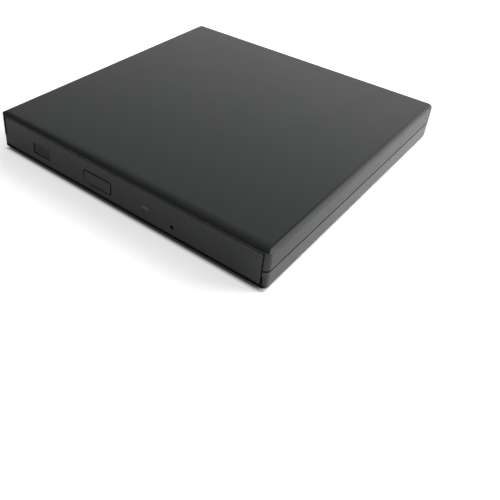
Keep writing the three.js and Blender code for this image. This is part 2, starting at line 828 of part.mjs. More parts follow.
function buildSockets() {
  const [left, right] = [usbX - usbWidth / 2, usbX + usbWidth / 2];
  piece(drive, 'bridge_board', cut(
    block(
      notchX + boardSideGap, wallX - boardSideGap, notchY + seatGap, wallY - boardSideGap, boardBottomZ,
      boardTopZ),
    bar('z', screwHoleRadius, boardBottomZ - overrun, boardTopZ + overrun, footX, footRearY),
  ), board());
  piece(drive, 'usb_shell', cut(
    block(left, right, usbBackY, usbMouthY, usbBottomZ, usbTopZ),
    block(
      left + usbSheet, right - usbSheet, usbBackY + usbSheet, usbMouthY - usbSheet, usbBottomZ + usbSheet,
      usbTopZ - usbSheet),
    lengthwise(usbMouth(), usbMouthY - usbSheet - overrun / 2, usbMouthY + overrun),
  ), steel());
  const inset = usbSheet + sheetGap;
  piece(drive, 'usb_insulator', join(
    block(
      left + inset, right - inset, usbBackY + inset, usbBackY + inset + usbBlock, usbBottomZ + inset,
      usbTopZ - inset),
    block(
      usbX - usbTongueWidth / 2, usbX + usbTongueWidth / 2, usbBackY + inset, usbMouthY - usbTongueSetback,
      usbZ - usbTongueHeight / 2, usbZ + usbTongueHeight / 2),
  ), whiteResin());
  const jackMouthY = wallY - seatGap;
  piece(drive, 'dc_jack', cut(
    block(
      jackX - jackWidth / 2, jackX + jackWidth / 2, jackMouthY - jackLength, jackMouthY, usbBottomZ,
      usbTopZ),
    bar('y', jackBore, jackMouthY - jackBoreDepth, jackMouthY + overrun, jackX, jackZ, wideSides),
  ), blackResin());
  piece(drive, 'dc_jack_pin', bar(
    'y', jackPinRadius, jackMouthY - jackBoreDepth + sheetGap, jackMouthY - jackPinSetback, jackX, jackZ),
    steel());
}

function buildDriveBoard() {
  const bottom = panFloorZ + runGap;
  const top = bottom + boardThick;
  const middleY = (driveBoardFront + driveBoardRear) / 2;
  const seat = top + sheetGap;
  const insets = [chipInset, crystalInset, capacitorInset];
  const [chipX, crystalX, capacitorX] = insets.map((inset) => driveBoardLeft + inset);
  piece(drive, 'drive_board', block(
    driveBoardLeft, driveBoardRight, driveBoardFront, driveBoardRear, bottom, top), board());
  piece(drive, 'bridge_chip', block(
    chipX - chipSize / 2, chipX + chipSize / 2, middleY - chipSize / 2, middleY + chipSize / 2, seat,
    seat + chipThick), blackResin());
  piece(drive, 'crystal', block(
    crystalX - crystalLength / 2, crystalX + crystalLength / 2, middleY - crystalWidth / 2,
    middleY + crystalWidth / 2, seat, seat + crystalHeight), steel());
  piece(drive, 'capacitor', bar(
    'z', capacitorRadius, seat, seat + capacitorHeight, capacitorX, middleY), darkSteel());
  const right = notchX + boardSideGap + usbHoleGap;
  const front = notchY + connectorFrontGap;
  piece(drive, 'drive_connector', block(
    right - connectorLength, right, front, front + connectorWidth, usbBottomZ, usbBottomZ + connectorHeight),
  blackResin());
}

// Flat cable: a run on the chassis floor, a fold, and a run under the tray up to its board
function buildCable() {
  const half = cableThick / 2;
  const fold = (cableHighZ - cableLowZ) / 2;
  const rise = cableEndZ - cableHighZ;
  const ribbon = new THREE.Shape();
  ribbon.moveTo(cableStartY, cableLowZ - half);
  ribbon.lineTo(cableStartY, cableLowZ + half);
  ribbon.lineTo(cableFoldY, cableLowZ + half);
  ribbon.absarc(cableFoldY, cableLowZ + fold, fold - half, -Math.PI / 2, -Math.PI * 1.5, true);
  ribbon.lineTo(cableRiseY, cableHighZ - half);
  ribbon.lineTo(cableRiseY + rise, cableEndZ - half);
  ribbon.lineTo(cableEndY, cableEndZ - half);
  ribbon.lineTo(cableEndY, cableEndZ + half);
  ribbon.lineTo(cableRiseY + rise - cableThick, cableEndZ + half);
  ribbon.lineTo(cableRiseY - cableThick, cableHighZ + half);
  ribbon.lineTo(cableFoldY, cableHighZ + half);
  ribbon.absarc(cableFoldY, cableLowZ + fold, fold + half, Math.PI / 2, Math.PI * 1.5, false);
  ribbon.closePath();
  piece(drive, 'ribbon_cable', sideways(
    ribbon, cableX - cableWidth / 2, cableX + cableWidth / 2), cableFilm());
}

// Spring-loaded pusher

function buildPusher() {
  const tubeRearY = panInnerY - runGap;
  const tubeFrontY = tubeRearY - pusherTubeLength;
  const bore = pusherTubeRadius - pusherTubeWall;
  piece(drive, 'pusher_tube', cut(
    bar('y', pusherTubeRadius, tubeFrontY, tubeRearY, pusherX, pusherZ),
    bar('y', bore, tubeFrontY - overrun, tubeRearY - pusherTubeWall, pusherX, pusherZ),
  ), blackResin());
  const noseY = tubeFrontY - pusherNose + runGap;
  piece(drive, 'eject_pusher', cut(
    bar('y', pusherRadius, noseY, noseY + pusherLength, pusherX, pusherZ),
    bar('y', pusherRadius - pusherWall, noseY + pusherNose, noseY + pusherLength + overrun, pusherX, pusherZ),
  ), whiteResin());
  const springEnd = tubeRearY - pusherTubeWall - runGap;
  piece(drive, 'eject_spring', cut(
    bar('y', springRadius, noseY + pusherNose + runGap, springEnd, pusherX, pusherZ),
    bar('y', springRadius - springWire, noseY - overrun, springEnd + overrun, pusherX, pusherZ),
  ), steel());
  return noseY;
}

// Tray

function coverPlan(margin) {
  const half = traverseHalf - coverSetback + margin;
  const strip = block(
    traverseNear + coverSetback - margin, traverseFar, -half, half, plateBottomZ - overrun,
    plateTopZ + overrun);
  const round = bar(
    'z', discRadius - coverSetback + margin, plateBottomZ - overrun, plateTopZ + overrun, 0, 0, recessSides);
  return [strip, round];
}

function trayFrame(padFrontY) {
  const [left, right] = [-trayX, trayX];
  const plan = roundedRectangle(left, right, trayFrontY, trayRearY, trayCorner);
  const deck = cut(
    upright(plan, plateBottomZ, rimTopZ),
    bar('z', recessRadius, plateTopZ, rimTopZ + overrun, 0, discY, recessSides),
  );
  const [strip, round] = coverPlan(runGap).map(onTraverse);
  const sides = sideBoth((side) => {
    const [x0, x1] = [side * (beamX - sideBeam), side * beamX].sort((p, q) => p - q);
    return block(x0, x1, trayFrontY, trayRearY, trayBottomZ, plateBottomZ + plateThick / 2);
  });
  const ribs = sideBoth((side) => {
    const [x0, x1] = [side * (beamX - sideBeam / 2), side * ribOuterX].sort((p, q) => p - q);
    return block(x0, x1, railFrontY, railRearY, railZ - ribHeight / 2, railZ + ribHeight / 2);
  });
  const front = block(
    -beamX, beamX, trayFrontY, frontBeamBackY, trayBottomZ, plateBottomZ + plateThick / 2);
  const rear = block(
    -beamX, beamX, trayRearY - rearBeam, trayRearY, plateBottomZ - rearBeamDrop,
    plateBottomZ + plateThick / 2);
  const pad = block(
    pusherX - padHalf, pusherX + padHalf, padFrontY - padThick, padFrontY, basePlateTopZ,
    plateBottomZ + plateThick / 2);
  const studs = damperPlaces.map(([u, v]) => onTraverse(
    bar('z', studRadius, traverseBottomZ, plateBottomZ + plateThick / 2, u, v)));
  const pivot = bar(
    'z', pivotPinRadius, latchBottomZ, plateBottomZ + plateThick / 2, latchPivotX, latchPivotY);
  const switchPocket = block(
    buttonX - switchWidth / 2 - runGap, buttonX + switchWidth / 2 + runGap, trayFrontY - overrun,
    frontBeamBackY + overrun / 2, buttonZ - switchHeight / 2 - runGap, buttonZ + switchHeight / 2 + runGap);
  const ledHole = bar(
    'y', windowHeight / 2, trayFrontY - overrun, frontBeamBackY + overrun / 2, windowX, windowZ);
  const releaseHole = bar(
    'y', releaseRadius + runGap, trayFrontY - overrun, frontBeamBackY + overrun / 2, releaseX, releaseZ);
  const corner = block(
    notchX - sheetThick - notchGap, trayX + overrun, notchY - sheetThick - notchGap, trayRearY + overrun,
    trayBottomZ - overrun, rimTopZ + overrun);
  return cut(
    join(cut(deck, common(strip, round)), ...sides, ...ribs, front, rear, pad, ...studs, pivot),
    switchPocket,
    ledHole,
    releaseHole,
    corner,
  );
}

function bezel() {
  const half = wallX - bezelSideGap;
  const [low, high] = [floorZ + seatGap, roofZ - bezelTopGap];
  const blankLeft = blankInset - wallX;
  const body = lengthwise(roundedRectangle(-half, half, low, high, bezelCorner), bezelFrontY, bezelBackY);
  const buttonHole = roundedRectangle(
    buttonX - buttonWidth / 2 - buttonGap, buttonX + buttonWidth / 2 + buttonGap,
    buttonZ - buttonHeight / 2 - buttonGap, buttonZ + buttonHeight / 2 + buttonGap, buttonCorner + buttonGap);
  return cut(
    body,
    block(
      -half + bezelSkirt, half - bezelSkirt, bezelFrontY + bezelFace, bezelBackY + overrun, low + bezelSkirt,
      high - bezelSkirt),
    lengthwise(buttonHole, bezelFrontY - overrun, bezelBackY + overrun),
    lengthwise(windowOutline(sheetGap), bezelFrontY - overrun, bezelBackY + overrun),
    bar('y', releaseRadius, bezelFrontY - overrun, bezelBackY + overrun, releaseX, releaseZ),
    block(
      blankLeft, blankLeft + blankWidth, bezelFrontY - overrun, bezelFrontY + blankSink,
      buttonZ - blankHeight / 2, buttonZ + blankHeight / 2),
  );
}

function windowOutline(margin) {
  const [halfWide, halfHigh] = [windowWidth / 2 + margin, windowHeight / 2 + margin];
  return roundedRectangle(
    windowX - halfWide, windowX + halfWide, windowZ - halfHigh, windowZ + halfHigh,
    halfHigh * windowEndShare);
}

function ejectButton() {
  const [halfWide, halfHigh] = [buttonWidth / 2, buttonHeight / 2];
  const cap = roundedRectangle(
    buttonX - halfWide, buttonX + halfWide, buttonZ - halfHigh, buttonZ + halfHigh, buttonCorner);
  const flange = roundedRectangle(
    buttonX - halfWide - buttonFlangeReach, buttonX + halfWide + buttonFlangeReach,
    buttonZ - halfHigh - buttonFlangeReach, buttonZ + halfHigh + buttonFlangeReach, buttonCorner);
  const flangeY = bezelFrontY + bezelFace + glideGap;
  return join(
    lengthwise(cap, bezelFrontY - buttonProud, flangeY + buttonFlange / 2),
    lengthwise(flange, flangeY, flangeY + buttonFlange),
    bar('y', buttonStemRadius, flangeY, switchFrontY - buttonTravel - seatGap, buttonX, buttonZ),
  );
}

function trayBoard() {
  return upright(outline([
    [trayBoardLeft, trayBoardFront],
    [trayBoardRight, trayBoardFront],
    [trayBoardRight, trayBoardRear],
    [trayBoardTailLeft, trayBoardRear],
    [trayBoardTailLeft, trayBoardTailFront],
    [trayBoardLeft, trayBoardTailFront],
  ]), trayBoardBottomZ, trayBoardTopZ);
}

function buildTray(pusherNoseY) {
  piece(drive, 'tray_frame', trayFrame(pusherNoseY - runGap), trayPlastic());
  piece(drive, 'tray_bezel', bezel(), bezelPlastic());
  piece(drive, 'eject_button', ejectButton(), bezelPlastic());
  piece(drive, 'light_pipe', lengthwise(windowOutline(0), bezelFrontY, bezelBackY), clearPlastic());
  piece(drive, 'eject_switch', block(
    buttonX - switchWidth / 2, buttonX + switchWidth / 2, switchFrontY, switchFrontY + switchDepth,
    buttonZ - switchHeight / 2, buttonZ + switchHeight / 2), blackResin());
  piece(drive, 'tray_board', trayBoard(), board());
  const sheetX = beamX - sideBeam - runGap;
  piece(drive, 'tray_base_plate', cut(
    block(-sheetX, sheetX, frontBeamBackY + runGap, basePlateRear, trayBottomZ, basePlateTopZ),
    block(
      latchPinX - pinChannel / 2, latchPinX + pinChannel / 2, latchPinY - pinChannel / 2,
      basePlateRear + overrun,
      trayBottomZ - overrun, basePlateTopZ + overrun),
    block(
      releaseX - releaseRadius - runGap, releaseX + releaseRadius + runGap, frontBeamBackY - overrun,
      latchPivotY + latchTail, trayBottomZ - overrun, basePlateTopZ + overrun),
  ), steel());
}

// Latch and solenoid

function buildLatch() {
  const [low, high] = [latchBottomZ, latchBottomZ + latchThick];
  const armRight = latchPivotX + latchArm / 2;
  const hookFront = latchPinY + latchPinRadius + latchHookGap;
  const tail = releaseX - latchTailPast;
  piece(drive, 'latch_lever', cut(
    join(
      bar('z', latchBossRadius, low, high, latchPivotX, latchPivotY),
      block(latchPivotX - latchArm / 2, armRight, latchPivotY, hookFront + latchHook, low, high),
      block(latchPinX - latchHookOverlap, armRight, hookFront, hookFront + latchHook, low, high),
      block(tail, latchPivotX, latchPivotY - latchTail / 2, latchPivotY + latchTail / 2, low, high),
    ),
    bar('z', latchBore, low - overrun, high + overrun, latchPivotX, latchPivotY),
  ), whiteResin());
  const y = solenoidY;
  const bottom = basePlateTopZ + sheetGap;
  const top = plateBottomZ - solenoidTopGap;
  const z = (bottom + top) / 2;
  const coilLeft = latchPivotX + solenoidOffset;
  const coilBore = plungerRadius + runGap;
  piece(drive, 'solenoid_coil', cut(
    block(coilLeft, coilLeft + solenoidLength, y - solenoidWidth / 2, y + solenoidWidth / 2, bottom, top),
    bar('x', coilBore, coilLeft - overrun, coilLeft + solenoidLength - solenoidWall, y, z),
  ), copper());
  const plungerLeft = armRight + runGap;
  piece(drive, 'solenoid_plunger', bar(
    'x', plungerRadius, plungerLeft, plungerLeft + plungerLength, y, z), steel());
}

// Traverse

function traverseBase() {
  const inner = traverseHalf - traverseWall;
  const [near, far] = [traverseNear + traverseWall, traverseFar - traverseWall];
  const bayOuter = -traverseHalf - screwBayWidth;
  const earLow = traverseZ - earThick / 2;
  const ears = damperPlaces.flatMap(([u, v]) => [
    bar('z', earRadius, earLow, earLow + earThick, u, v, wideSides / 2),
    v === 0
      ? block(u, near, -earRadius, earRadius, earLow, earLow + earThick)
      : block(
        u - earRadius, u + earRadius, Math.min(v, Math.sign(v) * inner), Math.max(v, Math.sign(v) * inner),
        earLow,
        earLow + earThick),
  ]);
  const earHoles = damperPlaces.map(([u, v]) =>
    bar('z', damperWaist + runGap, earLow - overrun, earLow + earThick + overrun, u, v));
  const bayWallInner = bayOuter + traverseWall;
  return cut(
    join(
      block(traverseNear, traverseFar, -traverseHalf, traverseHalf, traverseBottomZ, traverseTopZ),
      block(screwBayNear, screwBayFar, bayOuter, -inner, traverseBottomZ, traverseTopZ),
      ...ears,
    ),
    block(near, far, -inner, inner, traverseBottomZ + traverseFloor, traverseTopZ + overrun),
    block(
      turntableRadius - traverseWall, far, -inner, inner, traverseBottomZ - overrun, traverseTopZ + overrun),
    block(
      screwBayNear + traverseWall, screwBayFar - traverseWall, bayWallInner, -inner + traverseWall,
      traverseBottomZ - overrun, traverseTopZ + overrun),
    ...earHoles,
  );
}

function damper(u, v) {
  const [low, high] = [traverseZ - damperGroove / 2, traverseZ + damperGroove / 2];
  return turned([
    [damperBore, traverseBottomZ],
    [damperRadius, traverseBottomZ],
    [damperRadius, low],
    [damperWaist, low],
    [damperWaist, high],
    [damperRadius, high],
    [damperRadius, traverseTopZ],
    [damperBore, traverseTopZ],
  ], u, v, barSides);
}

function sled() {
  const [near, far] = [sledNear, lensInner + sledFront];
  const low = traverseBottomZ + sledSole;
  const high = traverseTopZ - sledTopGap;
  const edge = traverseHalf - traverseWall - sledSideGap;
  const forkTop = traverseZ + rodRadius + glideGap;
  const forkBottom = traverseZ - rodRadius - glideGap;
  const middle = near + armHalf;
  const armEnd = -leadScrewSide + leadScrewRadius + runGap;
  const pocketHalf = holderHalfLength + holderSideGap;
  const pocketFloor = high + holderRise - holderHeight - holderDepthGap;
  return cut(
    join(
      block(near, far, -sledForkSide, edge, low, high),
      block(middle - armHalf, middle + armHalf, armEnd, -sledForkSide + overrun, forkTop, high),
      block(middle - armHalf, middle + armHalf, armEnd, armEnd + armBar, high - armDrop, high),
      block(
        middle - armHalf, middle + armHalf, -rodSpread - rodRadius, -sledForkSide + overrun,
        forkBottom - forkPlate,
        forkBottom),
    ),
    bar('x', rodRadius + glideGap, near - overrun, far + overrun, rodSpread, traverseZ),
    block(
      lensInner - pocketHalf, lensInner + pocketHalf, -holderHalfWidth - holderSideGap,
      holderHalfWidth + holderSideGap, pocketFloor, high + overrun),
  );
}

function buildTraverse() {
  piece(traverse, 'traverse_base', traverseBase(), blackResin());
  const [strip, round] = coverPlan(0);
  piece(traverse, 'traverse_cover', cut(
    common(common(strip, round), block(
      traverseNear, traverseFar, -traverseHalf, traverseHalf, plateBottomZ, plateBottomZ + coverThick)),
    block(sledNear, traverseFar + overrun, -slotHalf, slotHalf, plateBottomZ - overrun, plateTopZ + overrun),
    bar('z', turntableRadius + hubHoleGap, plateBottomZ - overrun, plateTopZ + overrun, 0, 0, wideSides),
  ), steel());
  damperPlaces.forEach(([u, v], n) => piece(traverse, `damper_${n + 1}`, damper(u, v), rubber()));
  const [rodNear, rodFar] = [traverseNear + traverseWall + runGap, traverseFar - traverseWall - runGap];
  piece(traverse, 'main_guide_rod', bar('x', rodRadius, rodNear, rodFar, rodSpread, traverseZ), steel());
  piece(traverse, 'sub_guide_rod', bar('x', rodRadius, rodNear, rodFar, -rodSpread, traverseZ), steel());
  const motorNear = screwBayNear + traverseWall + runGap;
  piece(traverse, 'sled_motor', bar(
    'x', sledMotorRadius, motorNear, motorNear + sledMotorLength, -leadScrewSide, traverseZ), steel());
  piece(traverse, 'lead_screw', bar(
    'x', leadScrewRadius, motorNear + sledMotorLength + runGap, screwBayFar - traverseWall - runGap,
    -leadScrewSide,
    traverseZ), steel());
  piece(traverse, 'pickup_sled', sled(), darkSteel());
  const holderHigh = traverseTopZ - sledTopGap + holderRise;
  const holderLow = holderHigh - holderHeight;
  piece(traverse, 'lens_holder', cut(
    block(
      lensInner - holderHalfLength, lensInner + holderHalfLength, -holderHalfWidth, holderHalfWidth,
      holderLow,
      holderHigh),
    bar('z', lensRadius + glideGap, holderHigh - lensRim - sheetGap, holderHigh + overrun, lensInner, 0),
    bar('z', lensAperture, holderLow - overrun, holderHigh + overrun, lensInner, 0),
  ), blackResin());
  piece(traverse, 'lens', turned([
    [0, holderHigh - lensRim],
    [lensRadius, holderHigh - lensRim],
    [lensRadius, holderHigh],
    [lensRadius * lensFlatShare, holderHigh + lensDome * lensShoulderShare],
    [0, holderHigh + lensDome],
  ], lensInner, 0, barSides), clearPlastic());
}

// Spindle: the motor's base stays with the tray, and the turntable carries the rubber ring and the claws

function buildSpindle() {
  const baseLow = traverseBottomZ + traverseFloor + seatGap;
  const baseHigh = baseLow + motorBaseThick;
  const rotorLow = baseHigh + runGap;
  const rotorHigh = plateBottomZ - rotorTopGap;
  const bossHigh = rotorHigh - rotorCap;
  piece(drive, 'motor_base', turned([
    [0, baseLow],
    [motorBaseRadius, baseLow],
    [motorBaseRadius, baseHigh],
    [motorBossRadius, baseHigh],
    [motorBossRadius, bossHigh],
    [0, bossHigh],
  ], 0, discY), steel());
  const tableHigh = plateTopZ + runGap;
  const tableLow = tableHigh - turntableThick;
  const hubHigh = tableHigh + hubShoulder;
  const boreHigh = bossHigh + runGap;
  const body = turned([
    [0, boreHigh],
    [motorBossRadius + runGap, boreHigh],
    [motorBossRadius + runGap, rotorLow],
    [rotorRadius, rotorLow],
    [rotorRadius, rotorHigh],
    [rotorRadius - rotorNeck, rotorHigh],
    [rotorRadius - rotorNeck, tableLow],
    [turntableRadius, tableLow],
    [turntableRadius, tableHigh],
    [ringOuter + sheetGap, tableHigh],
    [ringOuter + sheetGap, tableHigh - ringSink],
    [ringInner - sheetGap, tableHigh - ringSink],
    [ringInner - sheetGap, tableHigh],
    [hubRadius, tableHigh],
    [hubRadius, hubHigh],
    [hubRadius - hubDomeInset, hubHigh + hubDome],
    [0, hubHigh + hubDome],
  ], 0, discY);
  const slotLow = tableHigh + clawSlotRise;
  const clawLow = slotLow + (clawSlotHeight - clawHeight) / 2;
  const directions = Array.from({ length: clawCount }, (_, n) => Math.PI / 2 + (n * 2 * Math.PI) / clawCount);
  const around = (shape, angle) => shape.rotateZ(angle).translate(0, discY, 0);
  const slots = directions.map((angle) => around(block(
    clawSlotInner, hubRadius + overrun, -clawSlotWidth / 2, clawSlotWidth / 2, slotLow,
    slotLow + clawSlotHeight),
  angle));
  piece(drive, 'turntable', cut(body, ...slots), darkSteel());
  piece(drive, 'turntable_ring', turned([
    [ringInner, tableHigh - ringSink + sheetGap],
    [ringOuter, tableHigh - ringSink + sheetGap],
    [ringOuter, tableHigh + ringProud],
    [ringInner, tableHigh + ringProud],
  ], 0, discY), rubber());
  const nose = hubRadius + clawReach;
  const profile = outline([
    [clawSlotInner + clawInnerGap, clawLow],
    [nose - clawReach, clawLow],
    [nose, clawLow + clawHeight / 2],
    [hubRadius, clawLow + clawHeight],
    [clawSlotInner + clawInnerGap, clawLow + clawHeight],
  ]);
  directions.forEach((angle, n) => {
    const claw = lengthwise(profile, -clawWidth / 2, clawWidth / 2);
    piece(drive, `disc_claw_${n + 1}`, around(claw, angle), whiteResin());
  });
}

buildCasing();
buildChassis();
buildRails();
buildSockets();
buildDriveBoard();
buildCable();
buildTray(buildPusher());
buildLatch();
buildTraverse();
buildSpindle();

export default drive;
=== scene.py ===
"""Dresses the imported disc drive: finer edges, inner detail, plastics, metals, a pale floor, soft light."""
import json
import math

import bmesh
import bpy
from mathutils import Euler, Matrix, Vector


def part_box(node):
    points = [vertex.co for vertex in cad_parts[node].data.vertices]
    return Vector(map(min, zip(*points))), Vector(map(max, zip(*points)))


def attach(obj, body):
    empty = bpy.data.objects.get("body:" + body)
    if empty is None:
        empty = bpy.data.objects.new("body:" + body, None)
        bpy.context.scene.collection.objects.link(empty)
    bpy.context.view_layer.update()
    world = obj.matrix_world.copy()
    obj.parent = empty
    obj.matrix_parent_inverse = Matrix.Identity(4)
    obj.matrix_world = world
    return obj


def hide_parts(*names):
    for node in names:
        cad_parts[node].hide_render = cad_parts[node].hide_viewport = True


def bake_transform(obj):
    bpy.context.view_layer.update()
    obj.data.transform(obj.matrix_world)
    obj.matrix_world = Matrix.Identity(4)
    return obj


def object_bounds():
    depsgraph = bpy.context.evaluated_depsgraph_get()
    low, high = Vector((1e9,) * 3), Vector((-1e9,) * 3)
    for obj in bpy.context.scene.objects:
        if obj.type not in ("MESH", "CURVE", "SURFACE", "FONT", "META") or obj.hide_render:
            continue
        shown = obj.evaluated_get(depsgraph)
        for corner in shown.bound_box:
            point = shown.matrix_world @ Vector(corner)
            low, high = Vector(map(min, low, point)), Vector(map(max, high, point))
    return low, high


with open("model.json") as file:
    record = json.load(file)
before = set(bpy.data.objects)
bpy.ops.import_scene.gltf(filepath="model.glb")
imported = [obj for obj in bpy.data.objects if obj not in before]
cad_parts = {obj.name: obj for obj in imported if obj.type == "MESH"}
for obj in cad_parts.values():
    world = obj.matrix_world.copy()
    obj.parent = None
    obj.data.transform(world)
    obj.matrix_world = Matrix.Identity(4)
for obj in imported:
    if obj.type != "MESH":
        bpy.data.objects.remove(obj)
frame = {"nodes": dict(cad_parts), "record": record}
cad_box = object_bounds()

MM = 0.001
record = frame["record"]
BODY_OF = {node: body for body, nodes in record["behaviour"]["bodies"].items() for node in nodes}
SLOT_OF = {part["node"]: part["material_slot"] for part in record["subparts"]}


# Camera

CAMERA_PLACE = Vector((135.28, -204.91, 149.54)) * MM
CAMERA_DEGREES = (54.9556, -2.5303, 39.0684)
CAMERA_SHIFT = (0.1332, -0.1370)
LENS = 46.40
SENSOR_WIDTH = 36
NEAREST, FURTHEST = 0.01, 20


def add_camera():
    """The photograph's viewpoint on the upright drive."""
    data = bpy.data.cameras.new("camera")
    data.sensor_width = SENSOR_WIDTH
    data.lens = LENS
    data.shift_x, data.shift_y = CAMERA_SHIFT
    data.clip_start = NEAREST
    data.clip_end = FURTHEST
    camera = bpy.data.objects.new("camera", data)
    turn = Euler([math.radians(angle) for angle in CAMERA_DEGREES])
    camera.matrix_world = Matrix.LocRotScale(CAMERA_PLACE, turn, None)
    bpy.context.collection.objects.link(camera)
    bpy.context.scene.camera = camera


# Materials: scales are in patches to the metre, depths in millimetres

# The band in which most of a noise texture's values lie.
NOISE_BAND = (0.3, 0.7)


def srgb(value):
    """A 0 to 255 screen value as a linear one."""
    share = value / 255
    return share / 12.92 if share <= 0.04045 else ((share + 0.055) / 1.055) ** 2.4


def colour(red, green, blue):
    """A colour from its three screen values."""
    return (srgb(red), srgb(green), srgb(blue), 1)


def shaded(base, factor):
    """A colour made lighter or darker."""
    return tuple(min(1, part * factor) for part in base[:3]) + (1,)


def add_node(tree, kind, values=None, sources=None):
    """A node with some of its inputs set to values and others fed by earlier outputs."""
    node = tree.nodes.new(kind)
    for key, value in (values or {}).items():
        node.inputs[key].default_value = value
    for key, output in (sources or {}).items():
        tree.links.new(output, node.inputs[key])
    return node


class Finish:
    """A node material around one Principled shader, with helpers for what varies over a surface."""

    def __init__(self, name, base, roughness, metallic=0.0, specular=0.5):
        self.material = bpy.data.materials.new(name)
        self.material.use_nodes = True
        self.tree = self.material.node_tree
        self.base = base
        self.inputs = self.tree.nodes["Principled BSDF"].inputs
        self.inputs["Base Color"].default_value = base
        self.inputs["Roughness"].default_value = roughness
        self.inputs["Metallic"].default_value = metallic
        self.inputs["Specular IOR Level"].default_value = specular
        self.place = add_node(self.tree, "ShaderNodeTexCoord").outputs["Object"]

    def feed(self, output, name):
        """Joins an output to one of the shader's inputs."""
        self.tree.links.new(output, self.inputs[name])

    def stretched(self, scale):
        """The object coordinates, scaled by their own amount along each axis."""
        return add_node(self.tree, "ShaderNodeMapping", {"Scale": scale},
                        {"Vector": self.place}).outputs["Vector"]

    def noise(self, scale, detail, vector=None):
        """Soft irregular values."""
        return add_node(self.tree, "ShaderNodeTexNoise", {"Scale": scale, "Detail": detail},
                        {"Vector": vector or self.place}).outputs["Fac"]

    def spread(self, value, low, high, band=NOISE_BAND):
        """A band of values carried over to the range from low to high."""
        start, end = band
        return add_node(self.tree, "ShaderNodeMapRange",
                        {"From Min": start, "From Max": end, "To Min": low, "To Max": high},
                        {"Value": value}).outputs["Result"]

    def ramp(self, value, low, high, band=NOISE_BAND):
        """A colour that goes from low to high over a band of values."""
        node = add_node(self.tree, "ShaderNodeValToRGB", sources={"Fac": value})
        for element, position, shade in zip(node.color_ramp.elements, band, (low, high)):
            element.position = position
            element.color = shade
        return node.outputs["Color"]

    def math(self, operation, *values):
        """One operation on numbers and earlier outputs."""
        node = add_node(self.tree, "ShaderNodeMath")
        node.operation = operation
        for place, value in zip(node.inputs, values):
            if isinstance(value, (int, float)):
                place.default_value = value
            else:
                self.tree.links.new(value, place)
        return node.outputs[0]

    def along(self, axis):
        """The object coordinate along one axis."""
        return add_node(self.tree, "ShaderNodeSeparateXYZ", sources={"Vector": self.place}).outputs[axis]

    def distance(self, axis, middle):
        """How far a point lies along one axis from a middle."""
        return self.math("ABSOLUTE", self.math("SUBTRACT", self.along(axis), middle))

    def paint(self, output):
        """The base colour given by an output."""
        self.feed(output, "Base Color")

    def mottle(self, scale, amount):
        """The base colour a little lighter and darker in soft patches."""
        low, high = shaded(self.base, 1 - amount), shaded(self.base, 1 + amount)
        self.paint(self.ramp(self.noise(scale, detail=3), low, high))

    def rough(self, output, low, high):
        """Roughness that follows an output between two values."""
        self.feed(self.spread(output, low, high), "Roughness")

    def bump(self, height, depth, strength):
        """Bumps that follow an output."""
        node = add_node(self.tree, "ShaderNodeBump", {"Strength": strength, "Distance": depth * MM},
                        {"Height": height})
        self.feed(node.outputs["Normal"], "Normal")

    def grain(self, scale, depth, strength, detail=2):
        """Fine irregular bumps."""
        self.bump(self.noise(scale, detail), depth, strength)


def moulded(name, base, roughness, grain=1600, depth=0.02, mottle=0.035):
    """Moulded plastic with a fine spark-eroded grain."""
    drift = 0.015
    finish = Finish(name, base, roughness)
    finish.mottle(scale=30, amount=mottle)
    finish.rough(finish.noise(scale=55, detail=4), roughness - drift, roughness + drift)
    finish.grain(grain, depth, strength=0.35, detail=3)
    return finish


def casing_half(name, base, roughness):
    """The plastic of one half of the casing, without shine in the parting line between the halves: painted
    shade for the shadow inside the gap.
    """
    half_gap = 0.2 * MM
    dull_to, shining_from = 0.28 * MM, 0.42 * MM
    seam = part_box("bottom_cover")[1][2] + half_gap
    finish = moulded(name, base, roughness)
    # Painted shade: the dull band round the seam darkens the parting line as the shadow in the gap would.
    shine = finish.spread(finish.distance("Z", seam), low=0.0, high=0.5, band=(dull_to, shining_from))
    finish.feed(shine, "Specular IOR Level")
    return finish


def bezel_plastic():
    """The front panel's plastic, darker on its blank field, which is level with the eject button."""
    finish = Finish("bezel", colour(50, 53, 52), roughness=0.46, specular=0.4)
    field_middle, field_width, field_height = 21.7 * MM, 9.5 * MM, 5.15 * MM
    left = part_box("tray_bezel")[0][0]
    button_low, button_high = (corner[2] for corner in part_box("eject_button"))
    across = finish.distance("X", left + field_middle)
    upward = finish.distance("Z", (button_low + button_high) / 2)
    inside = finish.math("MULTIPLY", finish.math("LESS_THAN", across, field_width / 2),
                         finish.math("LESS_THAN", upward, field_height / 2))
    soft = finish.noise(scale=30, detail=3)
    plain = finish.ramp(soft, colour(51, 54, 53), colour(55, 58, 57))
    field = finish.ramp(soft, colour(16, 17, 17), colour(18, 19, 19))
    mix = add_node(finish.tree, "ShaderNodeMix")
    mix.data_type = "RGBA"
    for name, output in (("Factor", inside), ("A", plain), ("B", field)):
        finish.tree.links.new(output, mix.inputs[name])
    finish.paint(mix.outputs["Result"])
    finish.rough(finish.noise(scale=55, detail=4), low=0.42, high=0.5)
    finish.grain(scale=2200, depth=0.012, strength=0.35, detail=3)
    return finish


def rolled_steel(name, base, roughness):
    """Sheet or drawn steel with fine streaks along y."""
    streak, smoother, rougher = 0.08, 0.06, 0.08
    finish = Finish(name, base, roughness, metallic=1.0)
    streaks = finish.noise(scale=900, detail=4, vector=finish.stretched((1, 0.02, 1)))
    finish.paint(finish.ramp(streaks, shaded(base, 1 - streak), shaded(base, 1 + streak)))
    finish.rough(streaks, roughness - smoother, roughness + rougher)
    finish.bump(streaks, depth=0.01, strength=0.2)
    return finish


